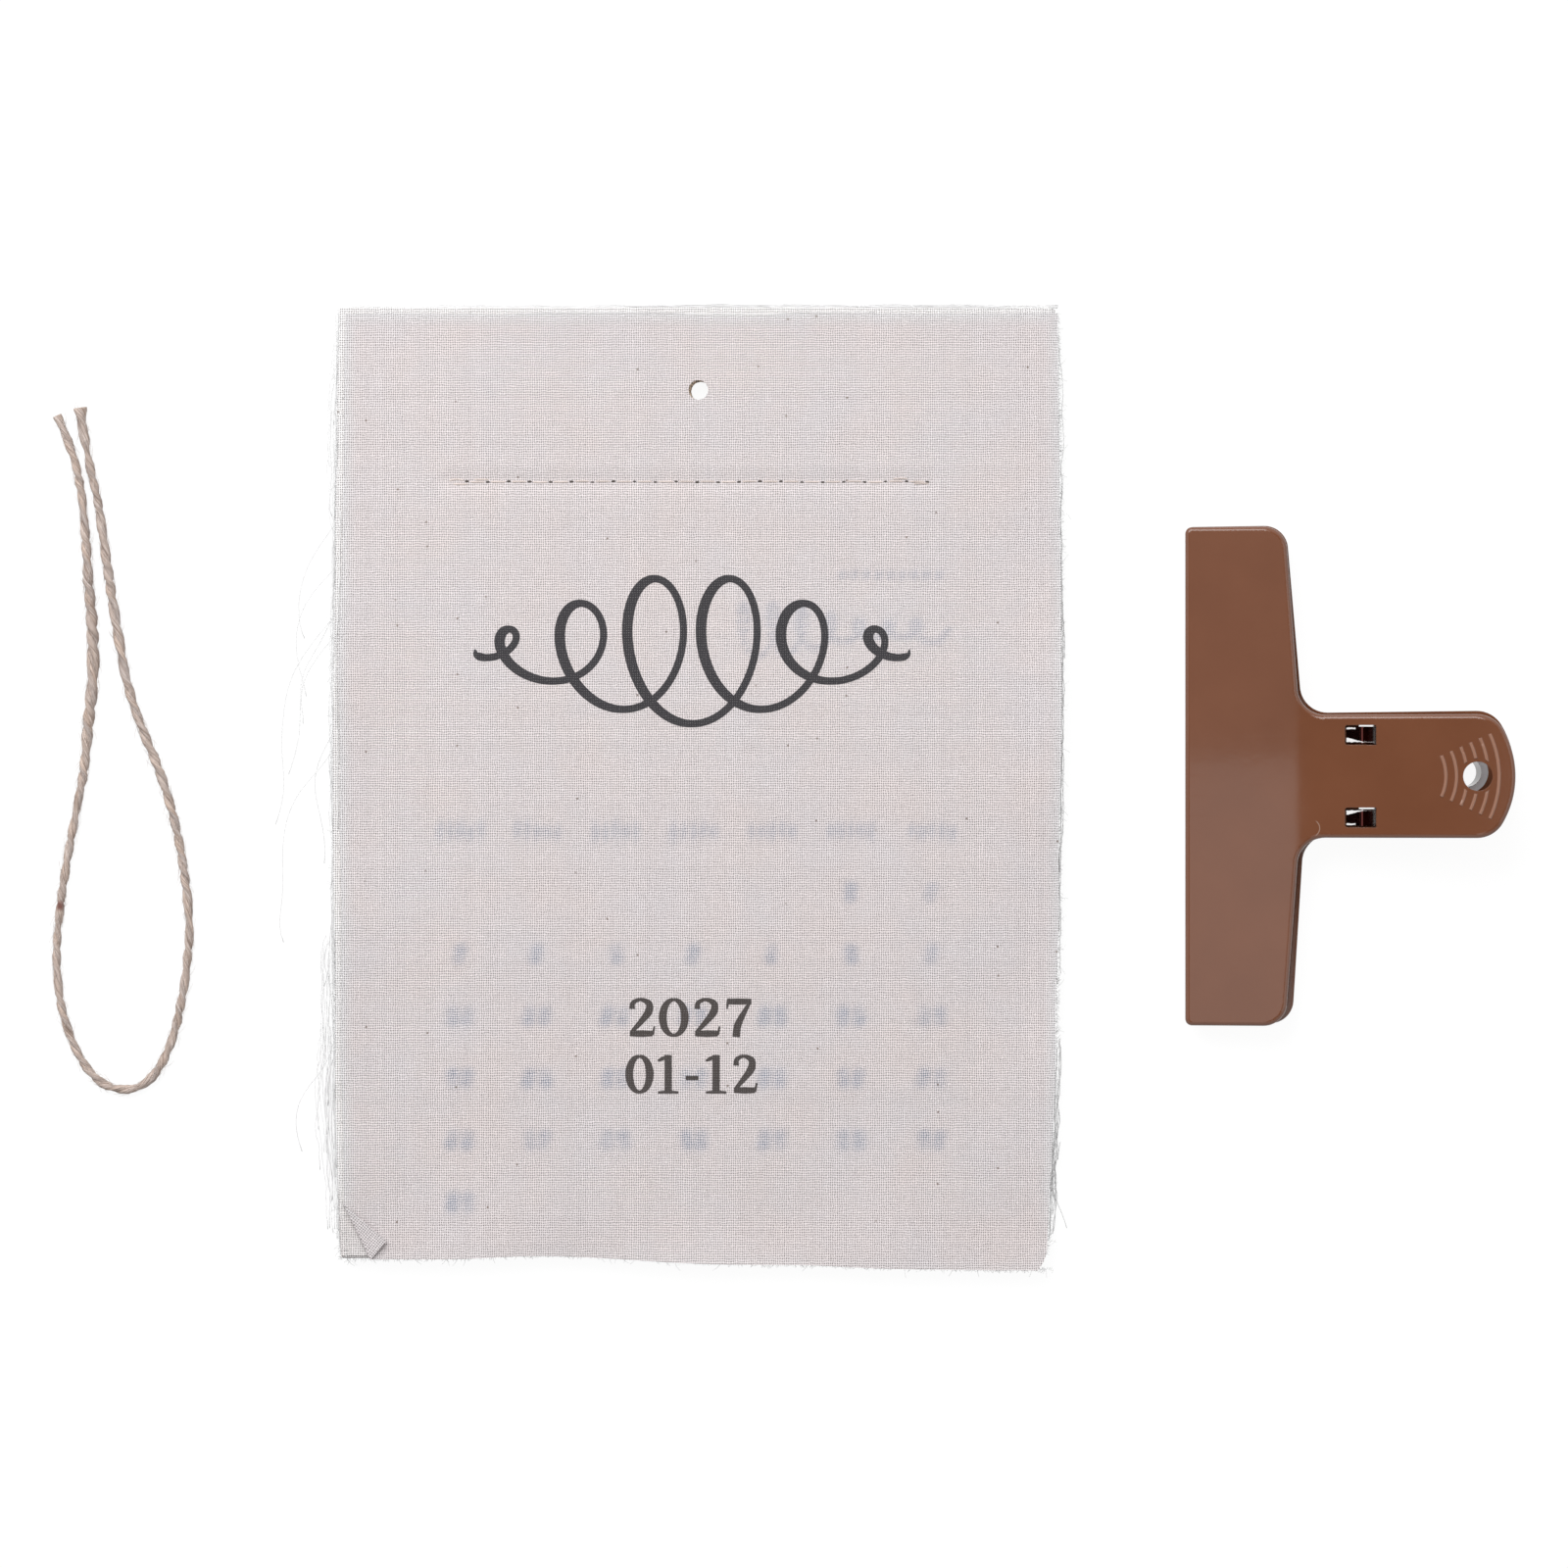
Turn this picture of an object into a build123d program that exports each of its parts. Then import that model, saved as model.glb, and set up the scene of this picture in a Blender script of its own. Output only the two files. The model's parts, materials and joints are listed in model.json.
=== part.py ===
"""Cloth wall calendar, laid flat beside its T-shaped hanging clip and its jute hanging twine.

Millimetres. The origin is on the axis of the pad's hanging hole, on the pad's back face.
+X runs to the right across the page, +Y up the page, +Z out of its front.
"""

import os
from math import atan2, cos, degrees, pi, radians, sin, sqrt, tan

from build123d import *

# Cloth pad
cloth_thickness = 0.32
page_count = 12
page_width = 149.6
page_height = 200.0
page_stray = 0.45  # how far one hand-cut page lies from the next
edge_bow = 1.0  # outward bow of a sheet's long edges
foot_draw_in = 1.9  # the lower right corner is cut in by this much
cover_width = 148.2
cover_height = 198.9
cover_shift_x = 0.7
cover_below_page_top = 1.0
hole_from_top = 17.2
hole_diameter = 4.1
dog_ear_up_side = 12.0
dog_ear_along_foot = 5.7

# Seam
seam_from_top = 36.3
seam_centre_x = -2.4
stitch_count = 23
stitch_pitch = 4.36
thread_diameter = 0.5
needle_clearance = 0.06
seam_groove_depth = 0.6  # the thread pulls into the back of the pad

# Twine, laid on the surface that the pad lies on
twine_diameter = 2.0
twine_fillet_share = 0.45  # share of the shorter run that each bend takes up
twine_points = [
    (-134.0, -5.1),
    (-131.3, -11.0),
    (-129.1, -19.2),
    (-128.1, -29.0),
    (-127.5, -39.2),
    (-126.6, -49.4),
    (-126.4, -59.6),
    (-127.5, -69.4),
    (-128.1, -78.0),
    (-130.3, -89.2),
    (-132.2, -99.4),
    (-133.8, -110.6),
    (-134.2, -119.8),
    (-133.5, -127.4),
    (-131.5, -134.4),
    (-128.9, -140.0),
    (-125.7, -143.9),
    (-122.0, -145.8),
    (-118.3, -146.0),
    (-114.9, -144.3),
    (-112.0, -140.5),
    (-109.6, -134.6),
    (-107.9, -127.3),
    (-106.8, -119.6),
    (-106.2, -111.6),
    (-107.1, -102.5),
    (-108.7, -92.7),
    (-111.3, -82.7),
    (-115.0, -73.5),
    (-118.7, -64.1),
    (-120.9, -53.5),
    (-122.6, -42.9),
    (-124.0, -33.1),
    (-125.2, -23.9),
    (-127.8, -13.2),
    (-129.3, -3.5),
]

# Clip, measured from its lip towards its handle
clip_lip_x = 101.45
clip_axis_y = -80.45
clip_depth = 67.55
jaw_length = 103.6
jaw_depth_end = 0.306 * clip_depth
jaw_depth_neck = 0.349 * clip_depth
handle_width = 25.5
handle_end_radius = 19.5
lip_corner_radius = 1.4
jaw_corner_radius = 4.9
neck_radius = 5.7
handle_corner_radius = 6.0
shell_height = 3.2  # from a half's outer face to the edge of its rim
shell_wall = 1.8
edge_radius = 1.0
knee_from_lip = 0.373 * clip_depth
knee_radius = 30.0
jaw_slope = 2.0  # degrees that the jaw plate leans away from the closed mid-plane
handle_slope = 6.0  # degrees that the handle plate leans away from it
lip_gap = 0.05  # from a closed lip to the mid-plane
half_twist = 0.7  # degrees that the loose lower half sits turned against the upper one
half_shift = 0.65  # that it sits moved along the rocker
lower_reach = 0.9  # that its outline stands further from the lip than the upper one's
rib_count = 4  # in each arm of the jaw
rib_pitch = 9.4
rib_width = 1.0
rib_drop = 0.4  # from the edge of the rim down to a rib

# Clip hanging hole and grip
clip_hole_from_end = 7.7
clip_hole_from_lip = clip_depth - clip_hole_from_end
clip_hole_diameter = 6.0
hole_boss_wall = 1.4
hole_boss_height = 4.4
ridge_count = 6
ridge_centre_from_lip = clip_hole_from_lip - 16.5
ridge_first_radius = 10.1
ridge_pitch = 2.16
lower_hole_from_lip = clip_hole_from_lip - ridge_pitch
ridge_width = 0.7
ridge_height = 0.18
ridge_half_angle = 24.5

# Clip rocker and spring
pivot_from_lip = clip_hole_from_lip - 18.9
rocker_radius = 1.7
rocker_clearance = 0.2
rocker_width = 11.2
socket_width = 7.0
socket_rise = 0.4  # the socket stops short of the mid-plane
window_from_lip = pivot_from_lip - 4.9
window_length = 6.4
window_width = 4.1
window_spacing = 17.06
window_corner_radius = 0.5
ledge_length = 2.8
ledge_depth = 0.9  # of the ledge that a prong's tip lies on, below the outer face
spring_thickness = 0.5
spring_seat_gap = 0.03
prong_width = 2.4
prong_tip_gap = 0.35  # from a prong's tip to the end of its window
prong_overhang = 0.6  # a prong runs this far past its ledge before it dives
prong_dive = 2.2
spring_arm_height = 2.8  # of an arm's middle above the mid-plane
spring_bend_radius = 0.6
spring_back_clearance = 0.6

os.makedirs("parts", exist_ok=True)

page_top_y = hole_from_top
pages_height = page_count * cloth_thickness
pad_height = pages_height + cloth_thickness
seam_y = page_top_y - seam_from_top
seam_start_x = seam_centre_x - stitch_count * stitch_pitch / 2
needle_xs = [seam_start_x + i * stitch_pitch for i in range(stitch_count + 1)]
needle_radius = thread_diameter / 2 + needle_clearance


def sheet_corners(width, height, shift_x, top_y):
    """The four corners of a sheet, clockwise from its upper left."""
    left = shift_x - width / 2
    right = shift_x + width / 2
    foot = top_y - height
    return (left, top_y), (right, top_y), (right - foot_draw_in, foot), (left, foot)


def bowed_edge(start, end):
    """A sheet's long edge, bowed outwards, to the left of the way from start to end."""
    run = Vector(*end) - Vector(*start)
    outward = Vector(-run.Y, run.X).normalized() * edge_bow
    return ThreePointArc(start, Vector(*start) + run / 2 + outward, end)


def pad_holes(bottom):
    """The hanging hole and the needle holes, drawn at the height of a sheet's underside."""
    with BuildSketch(Plane.XY.offset(bottom)) as holes:
        Circle(hole_diameter / 2)
        with Locations(*[(x, seam_y) for x in needle_xs]):
            Circle(needle_radius)
    return holes.sketch


# Month pages: twelve sheets, each lying a little off the last
with BuildPart() as month_pages:
    for page in range(page_count):
        stray_angle = 2.4 * page  # radians: turns by about the golden angle
        stray = (page_stray * cos(stray_angle), page_stray * sin(stray_angle), page * cloth_thickness)
        upper_left, upper_right, lower_right, lower_left = sheet_corners(page_width, page_height, 0, page_top_y)
        with BuildSketch(Plane(stray)):
            with BuildLine():
                Line(upper_left, upper_right)
                bowed_edge(upper_right, lower_right)
                Line(lower_right, lower_left)
                bowed_edge(lower_left, upper_left)
            make_face()
        extrude(amount=cloth_thickness)
    extrude(pad_holes(0), amount=pages_height, mode=Mode.SUBTRACT)
    seam_length = stitch_count * stitch_pitch
    with BuildSketch():
        with Locations((seam_centre_x, seam_y)):
            SlotCenterToCenter(seam_length, 2 * (needle_radius + needle_clearance))
    extrude(amount=seam_groove_depth, mode=Mode.SUBTRACT)
month_pages.part.label = "month_pages"
export_step(month_pages.part, "parts/month_pages.step")

# Cover sheet, with its lower left corner folded over on to its face
cover_top_y = page_top_y - cover_below_page_top
upper_left, upper_right, lower_right, lower_left = sheet_corners(
    cover_width, cover_height, cover_shift_x, cover_top_y
)
fold_side = (lower_left[0], lower_left[1] + dog_ear_up_side)
fold_foot = (lower_left[0] + dog_ear_along_foot, lower_left[1])
fold_run = Vector(*fold_foot) - Vector(*fold_side)
fold_plane = Plane(origin=fold_side, x_dir=fold_run, z_dir=Vector(fold_run.Y, -fold_run.X))
with BuildPart() as cover_sheet:
    with BuildSketch(Plane.XY.offset(pages_height)):
        with BuildLine():
            Line(upper_left, upper_right)
            bowed_edge(upper_right, lower_right)
            Line(lower_right, fold_foot)
            Line(fold_foot, fold_side)
            bowed_edge(fold_side, upper_left)
        make_face()
    extrude(amount=cloth_thickness)
    extrude(pad_holes(pages_height), amount=cloth_thickness, mode=Mode.SUBTRACT)
    with BuildSketch(Plane.XY.offset(pad_height)) as flap:
        with BuildLine():
            Polyline(fold_side, lower_left, fold_foot, close=True)
        make_face()
        mirror(about=fold_plane, mode=Mode.REPLACE)
    extrude(amount=cloth_thickness)
cover_sheet.part.label = "cover_sheet"
export_step(cover_sheet.part, "parts/cover_sheet.step")

# Binding thread: runs on the face and in the groove of the back, joined through the needle holes
with BuildPart() as binding_thread:
    thread_radius = thread_diameter / 2
    back_run_z = seam_groove_depth - thread_radius
    for run_z in (back_run_z, pad_height + thread_radius):
        with BuildSketch(Plane.YZ.offset(seam_start_x)):
            with Locations((seam_y, run_z)):
                RegularPolygon(thread_radius, 8)
        extrude(amount=seam_length)
    with BuildSketch(Plane.XY.offset(back_run_z)):
        with Locations(*[(x, seam_y) for x in needle_xs]):
            RegularPolygon(thread_radius, 8)
    extrude(amount=pad_height + thread_radius - back_run_z)
binding_thread.part.label = "binding_thread"
export_step(binding_thread.part, "parts/binding_thread.step")

# Hanging twine: straight runs joined by bends as large as the runs allow
route = [Vector(x, y, twine_diameter / 2) for x, y in twine_points]
bend_radii = []
for before, corner, after in zip(route, route[1:], route[2:]):
    turn = (corner - before).get_angle(after - corner)
    shorter_run = min((corner - before).length, (after - corner).length)
    bend_radii.append(twine_fillet_share * shorter_run / tan(radians(turn) / 2))
print("twine bend radii", [round(radius, 1) for radius in bend_radii])
with BuildPart() as hanging_twine:
    with BuildLine():
        twine_path = FilletPolyline(*route, radius=bend_radii)
    with BuildSketch(Plane(origin=twine_path @ 0, z_dir=twine_path % 0)):
        Circle(twine_diameter / 2)
    sweep()
hanging_twine.part.label = "hanging_twine"
export_step(hanging_twine.part, "parts/hanging_twine.step")
twine_volume = pi * twine_diameter**2 / 4 * twine_path.length
print("twine length", round(twine_path.length, 1))
print("twine volume against section times length", round(hanging_twine.part.volume / twine_volume, 4))

# Clip planes. Each half is built on a base plane at the middle of the closed lip: x runs to the handle
# and z out of the half's face. The closed clip lies on its lower lip and on its last lower grip ridge.
half_lip_height = shell_height + lip_gap
knee_height = half_lip_height + knee_from_lip * tan(radians(jaw_slope))
last_ridge_x = ridge_centre_from_lip + ridge_first_radius + (ridge_count - 1) * ridge_pitch + ridge_width / 2


def outer_height(x):
    """Height of a half's outer face above the mid-plane, x from the lip."""
    if x < knee_from_lip:
        return half_lip_height + x * tan(radians(jaw_slope))
    return knee_height + (x - knee_from_lip) * tan(radians(handle_slope))


lip_foot_x = lower_reach + edge_radius
lip_foot_height = outer_height(lip_foot_x)
ridge_foot_height = outer_height(last_ridge_x) + ridge_height / cos(radians(handle_slope))
clip_tilt = atan2(ridge_foot_height - lip_foot_height, last_ridge_x - lip_foot_x)
clip_lift = lip_foot_height * cos(clip_tilt) - lip_foot_x * sin(clip_tilt)
clip_origin = Vector(clip_lip_x, clip_axis_y, clip_lift)
along_clip = Vector(cos(clip_tilt), 0, sin(clip_tilt))
out_of_clip = Vector(-sin(clip_tilt), 0, cos(clip_tilt))
upper_base = Plane(clip_origin, x_dir=along_clip, z_dir=out_of_clip)
pivot_point = clip_origin + along_clip * pivot_from_lip
twisted_along = along_clip.rotate(Axis(pivot_point, out_of_clip), half_twist)
lower_origin = pivot_point + Vector(0, half_shift, 0) - twisted_along * pivot_from_lip
lower_base = Plane(lower_origin, x_dir=twisted_along, z_dir=-out_of_clip)


def section_plane(base):
    """Plane along the clip's axis, seen from the side: x as the base's x, y as its z."""
    return Plane(base.origin, x_dir=base.x_dir, z_dir=-base.y_dir)


def handle_plane(base):
    """Plane of the handle's outer face, with its origin above the middle of the lip."""
    lean = radians(handle_slope)
    x_dir = base.x_dir * cos(lean) + base.z_dir * sin(lean)
    z_dir = base.z_dir * cos(lean) - base.x_dir * sin(lean)
    height = knee_height - knee_from_lip * tan(lean)
    return Plane(base.origin + base.z_dir * height, x_dir=x_dir, z_dir=z_dir)


def along_handle(x):
    """Distance along the handle plane of a point at x from the lip."""
    return x / cos(radians(handle_slope))


def nearest_vertices(sketch, spots):
    """The corner of a sketch that lies nearest to each spot."""
    return [min(sketch.vertices(), key=lambda v: (v.center() - spot).length) for spot in spots]


def clip_outline(inset):
    """The half's T-shaped outline, drawn in by inset."""
    half_jaw = jaw_length / 2
    half_handle = handle_width / 2
    end_rise = handle_end_radius - sqrt(handle_end_radius**2 - half_handle**2)
    jaw_corners = [(jaw_depth_end, half_jaw), (jaw_depth_end, -half_jaw)]
    lip_corners = [(0, half_jaw), (0, -half_jaw)]
    neck_corners = [(jaw_depth_neck, half_handle), (jaw_depth_neck, -half_handle)]
    end_corners = [(clip_depth - end_rise, half_handle), (clip_depth - end_rise, -half_handle)]
    with BuildSketch() as outline:
        with BuildLine():
            Polyline(end_corners[0], neck_corners[0], jaw_corners[0], lip_corners[0])
            Polyline(lip_corners[0], lip_corners[1])
            Polyline(lip_corners[1], jaw_corners[1], neck_corners[1], end_corners[1])
            ThreePointArc(end_corners[1], (clip_depth, 0), end_corners[0])
        make_face()
        for corners, radius in (
            (lip_corners, lip_corner_radius),
            (jaw_corners, jaw_corner_radius),
            (neck_corners, neck_radius),
            (end_corners, handle_corner_radius),
        ):
            fillet(nearest_vertices(outline, [Vector(*corner) for corner in corners]), radius)
        if inset:
            offset(amount=-inset, mode=Mode.REPLACE)
    return outline.sketch


def bent_t(base, reach, inset, upper_depth, lower_depth):
    """A T-shaped block that follows the half's bend, between two depths below its outer face."""
    knee = [Vector(knee_from_lip, knee_height - depth) for depth in (upper_depth, lower_depth)]
    with BuildSketch() as profile:
        with BuildLine():
            xs = (0, knee_from_lip, clip_depth + reach)
            Polyline(
                *[(x, outer_height(x) - upper_depth) for x in xs],
                *[(x, outer_height(x) - lower_depth) for x in reversed(xs)],
                close=True,
            )
        make_face()
        fillet(nearest_vertices(profile, knee), knee_radius)
    with BuildPart() as block:
        with BuildSketch(section_plane(base)):
            add(profile.sketch)
        extrude(amount=jaw_length, both=True)
        with BuildSketch(base):
            with Locations((reach, 0)):
                add(clip_outline(inset))
        extrude(amount=clip_depth, both=True, mode=Mode.INTERSECT)
    return block.part


def arm_ribs(base, reach):
    """Stiffening ribs across the inside of both jaw arms."""
    first_y = handle_width / 2
    rib_ys = [side * (first_y + i * rib_pitch) for side in (-1, 1) for i in range(rib_count)]
    with BuildPart() as ribs:
        with BuildSketch(base):
            with Locations(*[(reach + jaw_depth_end / 2, y) for y in rib_ys]):
                Rectangle(jaw_depth_end, rib_width)
        extrude(amount=clip_depth, both=True)
        add(bent_t(base, reach, shell_wall / 2, shell_wall / 2, shell_height - rib_drop), mode=Mode.INTERSECT)
    return ribs.part


def clip_shell(base, reach):
    """One half's moulded tray: a bent T with rounded outer edges, hollowed to an even wall and ribbed."""
    with BuildPart() as shell:
        add(bent_t(base, reach, 0, 0, shell_height))
        outer_faces = shell.faces().filter_by(lambda f: f.normal_at().dot(base.z_dir) > 0.9)
        side_edges = shell.faces().filter_by(lambda f: abs(f.normal_at().dot(base.z_dir)) < 0.1).edges()
        fillet([e for e in outer_faces.edges() if any(e.is_same(side) for side in side_edges)], edge_radius)
        add(bent_t(base, reach, shell_wall, shell_wall, 2 * shell_height), mode=Mode.SUBTRACT)
        add(arm_ribs(base, reach))
    return shell.part


def grip_ridges(face, hole_from_lip):
    """Low rounded arcs across the handle, broken where the hanging hole passes."""
    round_radius = (ridge_width**2 / 4 + ridge_height**2) / (2 * ridge_height)
    centre = face.from_local_coords(Vector(along_handle(ridge_centre_from_lip), 0, 0))
    turn = radians(ridge_half_angle)
    radial = face.x_dir * cos(turn) - face.y_dir * sin(turn)
    section = Plane(centre, x_dir=radial, z_dir=radial.cross(face.z_dir))
    with BuildPart() as ridges:
        with BuildSketch(section):
            for i in range(ridge_count):
                with Locations((ridge_first_radius + i * ridge_pitch, ridge_height - round_radius)):
                    Circle(round_radius)
        revolve(axis=Axis(centre, face.z_dir), revolution_arc=2 * ridge_half_angle)
        with BuildSketch(face):
            with Locations((along_handle(hole_from_lip), 0)):
                Circle(clip_hole_diameter / 2 + ridge_width)
        extrude(amount=2 * round_radius, both=True, mode=Mode.SUBTRACT)
    return ridges.part


def window_cuts(face):
    """Recesses for the prongs' tips, and the slots beyond their ledges."""
    window_x = along_handle(window_from_lip)
    with BuildSketch(face) as recesses:
        with Locations((window_x, 0)):
            with GridLocations(0, window_spacing, 1, 2):
                RectangleRounded(window_length, window_width, window_corner_radius)
    with BuildSketch(face) as slots:
        with Locations((window_x + ledge_length / 2, 0)):
            with GridLocations(0, window_spacing, 1, 2):
                Rectangle(window_length - ledge_length, window_width)
    return recesses.sketch, slots.sketch


# Upper half of the clip, with the socket that rocks on the lower half's rib
upper_face = handle_plane(upper_base)
pivot_inner_height = outer_height(pivot_from_lip) - shell_wall
socket_root = pivot_inner_height + shell_wall / 2
with BuildPart() as clip_upper_half:
    add(clip_shell(upper_base, 0))
    with BuildSketch(section_plane(upper_base)):
        with Locations((pivot_from_lip, (socket_root + socket_rise) / 2)):
            Rectangle(socket_width, socket_root - socket_rise)
        with Locations((pivot_from_lip, 0)):
            Circle(rocker_radius + rocker_clearance, mode=Mode.SUBTRACT)
    extrude(amount=rocker_width / 2, both=True)
    recesses, slots = window_cuts(upper_face)
    extrude(recesses, amount=-ledge_depth, mode=Mode.SUBTRACT)
    extrude(slots, amount=-2 * shell_wall, mode=Mode.SUBTRACT)
    add(grip_ridges(upper_face, clip_hole_from_lip))
    with BuildSketch(upper_face):
        with Locations((along_handle(clip_hole_from_lip), 0)):
            Circle(clip_hole_diameter / 2)
    extrude(amount=-2 * shell_wall, mode=Mode.SUBTRACT)
clip_upper_half.part.label = "clip_upper_half"
export_step(clip_upper_half.part, "parts/clip_upper_half.step")

# Lower half of the clip, with the rib that it rocks on and a tube round its hanging hole
lower_face = handle_plane(lower_base)
plate_thickness = shell_wall * cos(radians(handle_slope))
with BuildPart() as clip_lower_half:
    add(clip_shell(lower_base, lower_reach))
    with BuildSketch(section_plane(lower_base)):
        with Locations((pivot_from_lip, 0)):
            Circle(rocker_radius)
        with Locations((pivot_from_lip, socket_root / 2)):
            Rectangle(2 * rocker_radius, socket_root)
    extrude(amount=rocker_width / 2, both=True)
    recesses, slots = window_cuts(lower_face)
    extrude(recesses, amount=-ledge_depth, mode=Mode.SUBTRACT)
    extrude(slots, amount=-2 * shell_wall, mode=Mode.SUBTRACT)
    add(grip_ridges(lower_face, lower_hole_from_lip))
    with BuildSketch(lower_face.offset(-plate_thickness / 2)):
        with Locations((along_handle(lower_hole_from_lip), 0)):
            Circle(clip_hole_diameter / 2 + hole_boss_wall)
    extrude(amount=-(plate_thickness / 2 + hole_boss_height))
    with BuildSketch(lower_face):
        with Locations((along_handle(lower_hole_from_lip), 0)):
            Circle(clip_hole_diameter / 2)
    extrude(amount=-(plate_thickness + hole_boss_height), mode=Mode.SUBTRACT)
clip_lower_half.part.label = "clip_lower_half"
export_step(clip_lower_half.part, "parts/clip_lower_half.step")

# Clip spring: a strip bent to a C behind the rocker, forked into two prongs on each arm
tip_depth = (ledge_depth - spring_seat_gap - spring_thickness / 2) / cos(radians(handle_slope))
tip_x = window_from_lip - window_length / 2 + prong_tip_gap
dive_x = window_from_lip - window_length / 2 + ledge_length + prong_overhang
spring_back_x = pivot_from_lip + socket_width / 2 + spring_back_clearance
with BuildPart() as clip_spring:
    with BuildSketch(section_plane(upper_base)):
        with BuildLine():
            FilletPolyline(
                (tip_x, outer_height(tip_x) - tip_depth),
                (dive_x, outer_height(dive_x) - tip_depth),
                (dive_x + prong_dive, spring_arm_height),
                (spring_back_x, spring_arm_height),
                radius=spring_bend_radius,
            )
            mirror(about=Plane.XZ)
            CenterArc((spring_back_x, 0), spring_arm_height, -90, 180)
        trace(line_width=spring_thickness)
    extrude(amount=(window_spacing + prong_width) / 2, both=True)
    with BuildSketch(upper_base):
        with Locations((spring_back_x / 2, 0)):
            Rectangle(spring_back_x, window_spacing - prong_width)
    extrude(amount=clip_depth, both=True, mode=Mode.SUBTRACT)
clip_spring.part.label = "clip_spring"
export_step(clip_spring.part, "parts/clip_spring.step")

lower_hole = lower_face.from_local_coords((along_handle(lower_hole_from_lip), 0, 0))
upper_hole = upper_face.from_local_coords((along_handle(clip_hole_from_lip), 0, 0))
print("clip pivot", pivot_point, "tilt", degrees(clip_tilt))
print("lower hole", lower_hole, "axis", lower_face.z_dir, "length", plate_thickness + hole_boss_height)
print("upper hole", upper_hole, "axis", upper_face.z_dir, "length", plate_thickness)
print("pad hole length", pad_height)
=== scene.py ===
import json
import math
import random

import bmesh
import bpy
import numpy as np
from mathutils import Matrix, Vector, noise


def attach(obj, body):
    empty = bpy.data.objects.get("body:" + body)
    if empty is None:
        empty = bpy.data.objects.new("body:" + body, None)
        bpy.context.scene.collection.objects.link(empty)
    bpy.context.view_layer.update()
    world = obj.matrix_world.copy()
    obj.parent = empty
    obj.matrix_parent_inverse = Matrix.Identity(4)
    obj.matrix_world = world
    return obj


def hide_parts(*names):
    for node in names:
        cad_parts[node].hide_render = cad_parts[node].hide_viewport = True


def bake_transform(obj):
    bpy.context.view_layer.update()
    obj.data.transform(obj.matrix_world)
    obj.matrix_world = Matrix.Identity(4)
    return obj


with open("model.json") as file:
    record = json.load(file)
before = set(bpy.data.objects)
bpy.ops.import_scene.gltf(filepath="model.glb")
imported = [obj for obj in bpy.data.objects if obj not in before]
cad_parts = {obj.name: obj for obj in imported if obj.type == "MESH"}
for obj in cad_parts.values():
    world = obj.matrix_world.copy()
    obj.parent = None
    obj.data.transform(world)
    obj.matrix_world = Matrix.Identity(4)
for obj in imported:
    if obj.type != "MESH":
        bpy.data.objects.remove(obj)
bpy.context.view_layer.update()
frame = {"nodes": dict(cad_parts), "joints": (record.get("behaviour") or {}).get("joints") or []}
scene = bpy.context.scene
scene.view_settings.view_transform = "Standard"
mm = 0.001
white = (1, 1, 1, 1)
bodyName = "calendar"


# node helpers

def setInputs(tree, made, inputs):
    for key, value in inputs.items():
        if isinstance(value, bpy.types.NodeSocket):
            tree.links.new(value, made.inputs[key])
        else:
            made.inputs[key].default_value = value


def node(tree, kind, inputs=None, **settings):
    made = tree.nodes.new(kind)
    for key, value in settings.items():
        setattr(made, key, value)
    setInputs(tree, made, inputs or {})
    return made


def calc(tree, operation, *values, clamp=False):
    inputs = dict(enumerate(values))
    return node(tree, "ShaderNodeMath", inputs, operation=operation, use_clamp=clamp).outputs[0]


def times(tree, first, *others):
    for other in others:
        first = calc(tree, "MULTIPLY", first, other)
    return first


def vectorCalc(tree, operation, *values):
    made = node(tree, "ShaderNodeVectorMath", dict(enumerate(values)), operation=operation)
    single = operation in ("DISTANCE", "DOT_PRODUCT", "LENGTH")
    return made.outputs["Value" if single else "Vector"]


def scaleVector(tree, vector, factor):
    inputs = {0: vector, "Scale": factor}
    return node(tree, "ShaderNodeVectorMath", inputs, operation="SCALE").outputs[0]


def mixColour(tree, factor, first, second, blend="MIX"):
    inputs = {0: factor, 6: first, 7: second}
    return node(tree, "ShaderNodeMix", inputs, data_type="RGBA", blend_type=blend).outputs[2]


def mixVector(tree, factor, first, second):
    inputs = {0: factor, 4: first, 5: second}
    return node(tree, "ShaderNodeMix", inputs, data_type="VECTOR").outputs[1]


def spread(tree, value, low, high, toLow=0.0, toHigh=1.0):
    inputs = {"Value": value, "From Min": low, "From Max": high, "To Min": toLow, "To Max": toHigh}
    return node(tree, "ShaderNodeMapRange", inputs).outputs[0]


def noiseAt(tree, place, scale, detail, roughness=0.5, output="Fac"):
    inputs = {"Vector": place, "Scale": scale, "Detail": detail, "Roughness": roughness}
    return node(tree, "ShaderNodeTexNoise", inputs).outputs[output]


def stretchPlace(tree, place, scale, turn=0.0):
    inputs = {"Vector": place, "Rotation": (0, 0, turn), "Scale": scale}
    return node(tree, "ShaderNodeMapping", inputs).outputs[0]


def splitPlace(tree, place):
    return node(tree, "ShaderNodeSeparateXYZ", {0: place}).outputs


def newMaterial(name):
    material = bpy.data.materials.new(name)
    material.use_nodes = True
    tree = material.node_tree
    return material, tree, tree.nodes["Principled BSDF"]


def addBump(tree, shader, height, strength, distance, normal=None):
    inputs = {"Height": height, "Strength": strength, "Distance": distance * mm}
    if normal is not None:
        inputs["Normal"] = normal
    setInputs(tree, shader, {"Normal": node(tree, "ShaderNodeBump", inputs).outputs[0]})


# mesh helpers

def addMesh(name, vertices, faces, material):
    mesh = bpy.data.meshes.new(name)
    mesh.from_pydata([tuple(v) for v in vertices], [], faces)
    mesh.update()
    mesh.materials.append(material)
    made = bpy.data.objects.new(name, mesh)
    scene.collection.objects.link(made)
    return made


def addPiece(name, vertices, faces, material):
    piece = addMesh(name, vertices, faces, material)
    piece.data.shade_smooth()
    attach(piece, bodyName)
    return piece


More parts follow.
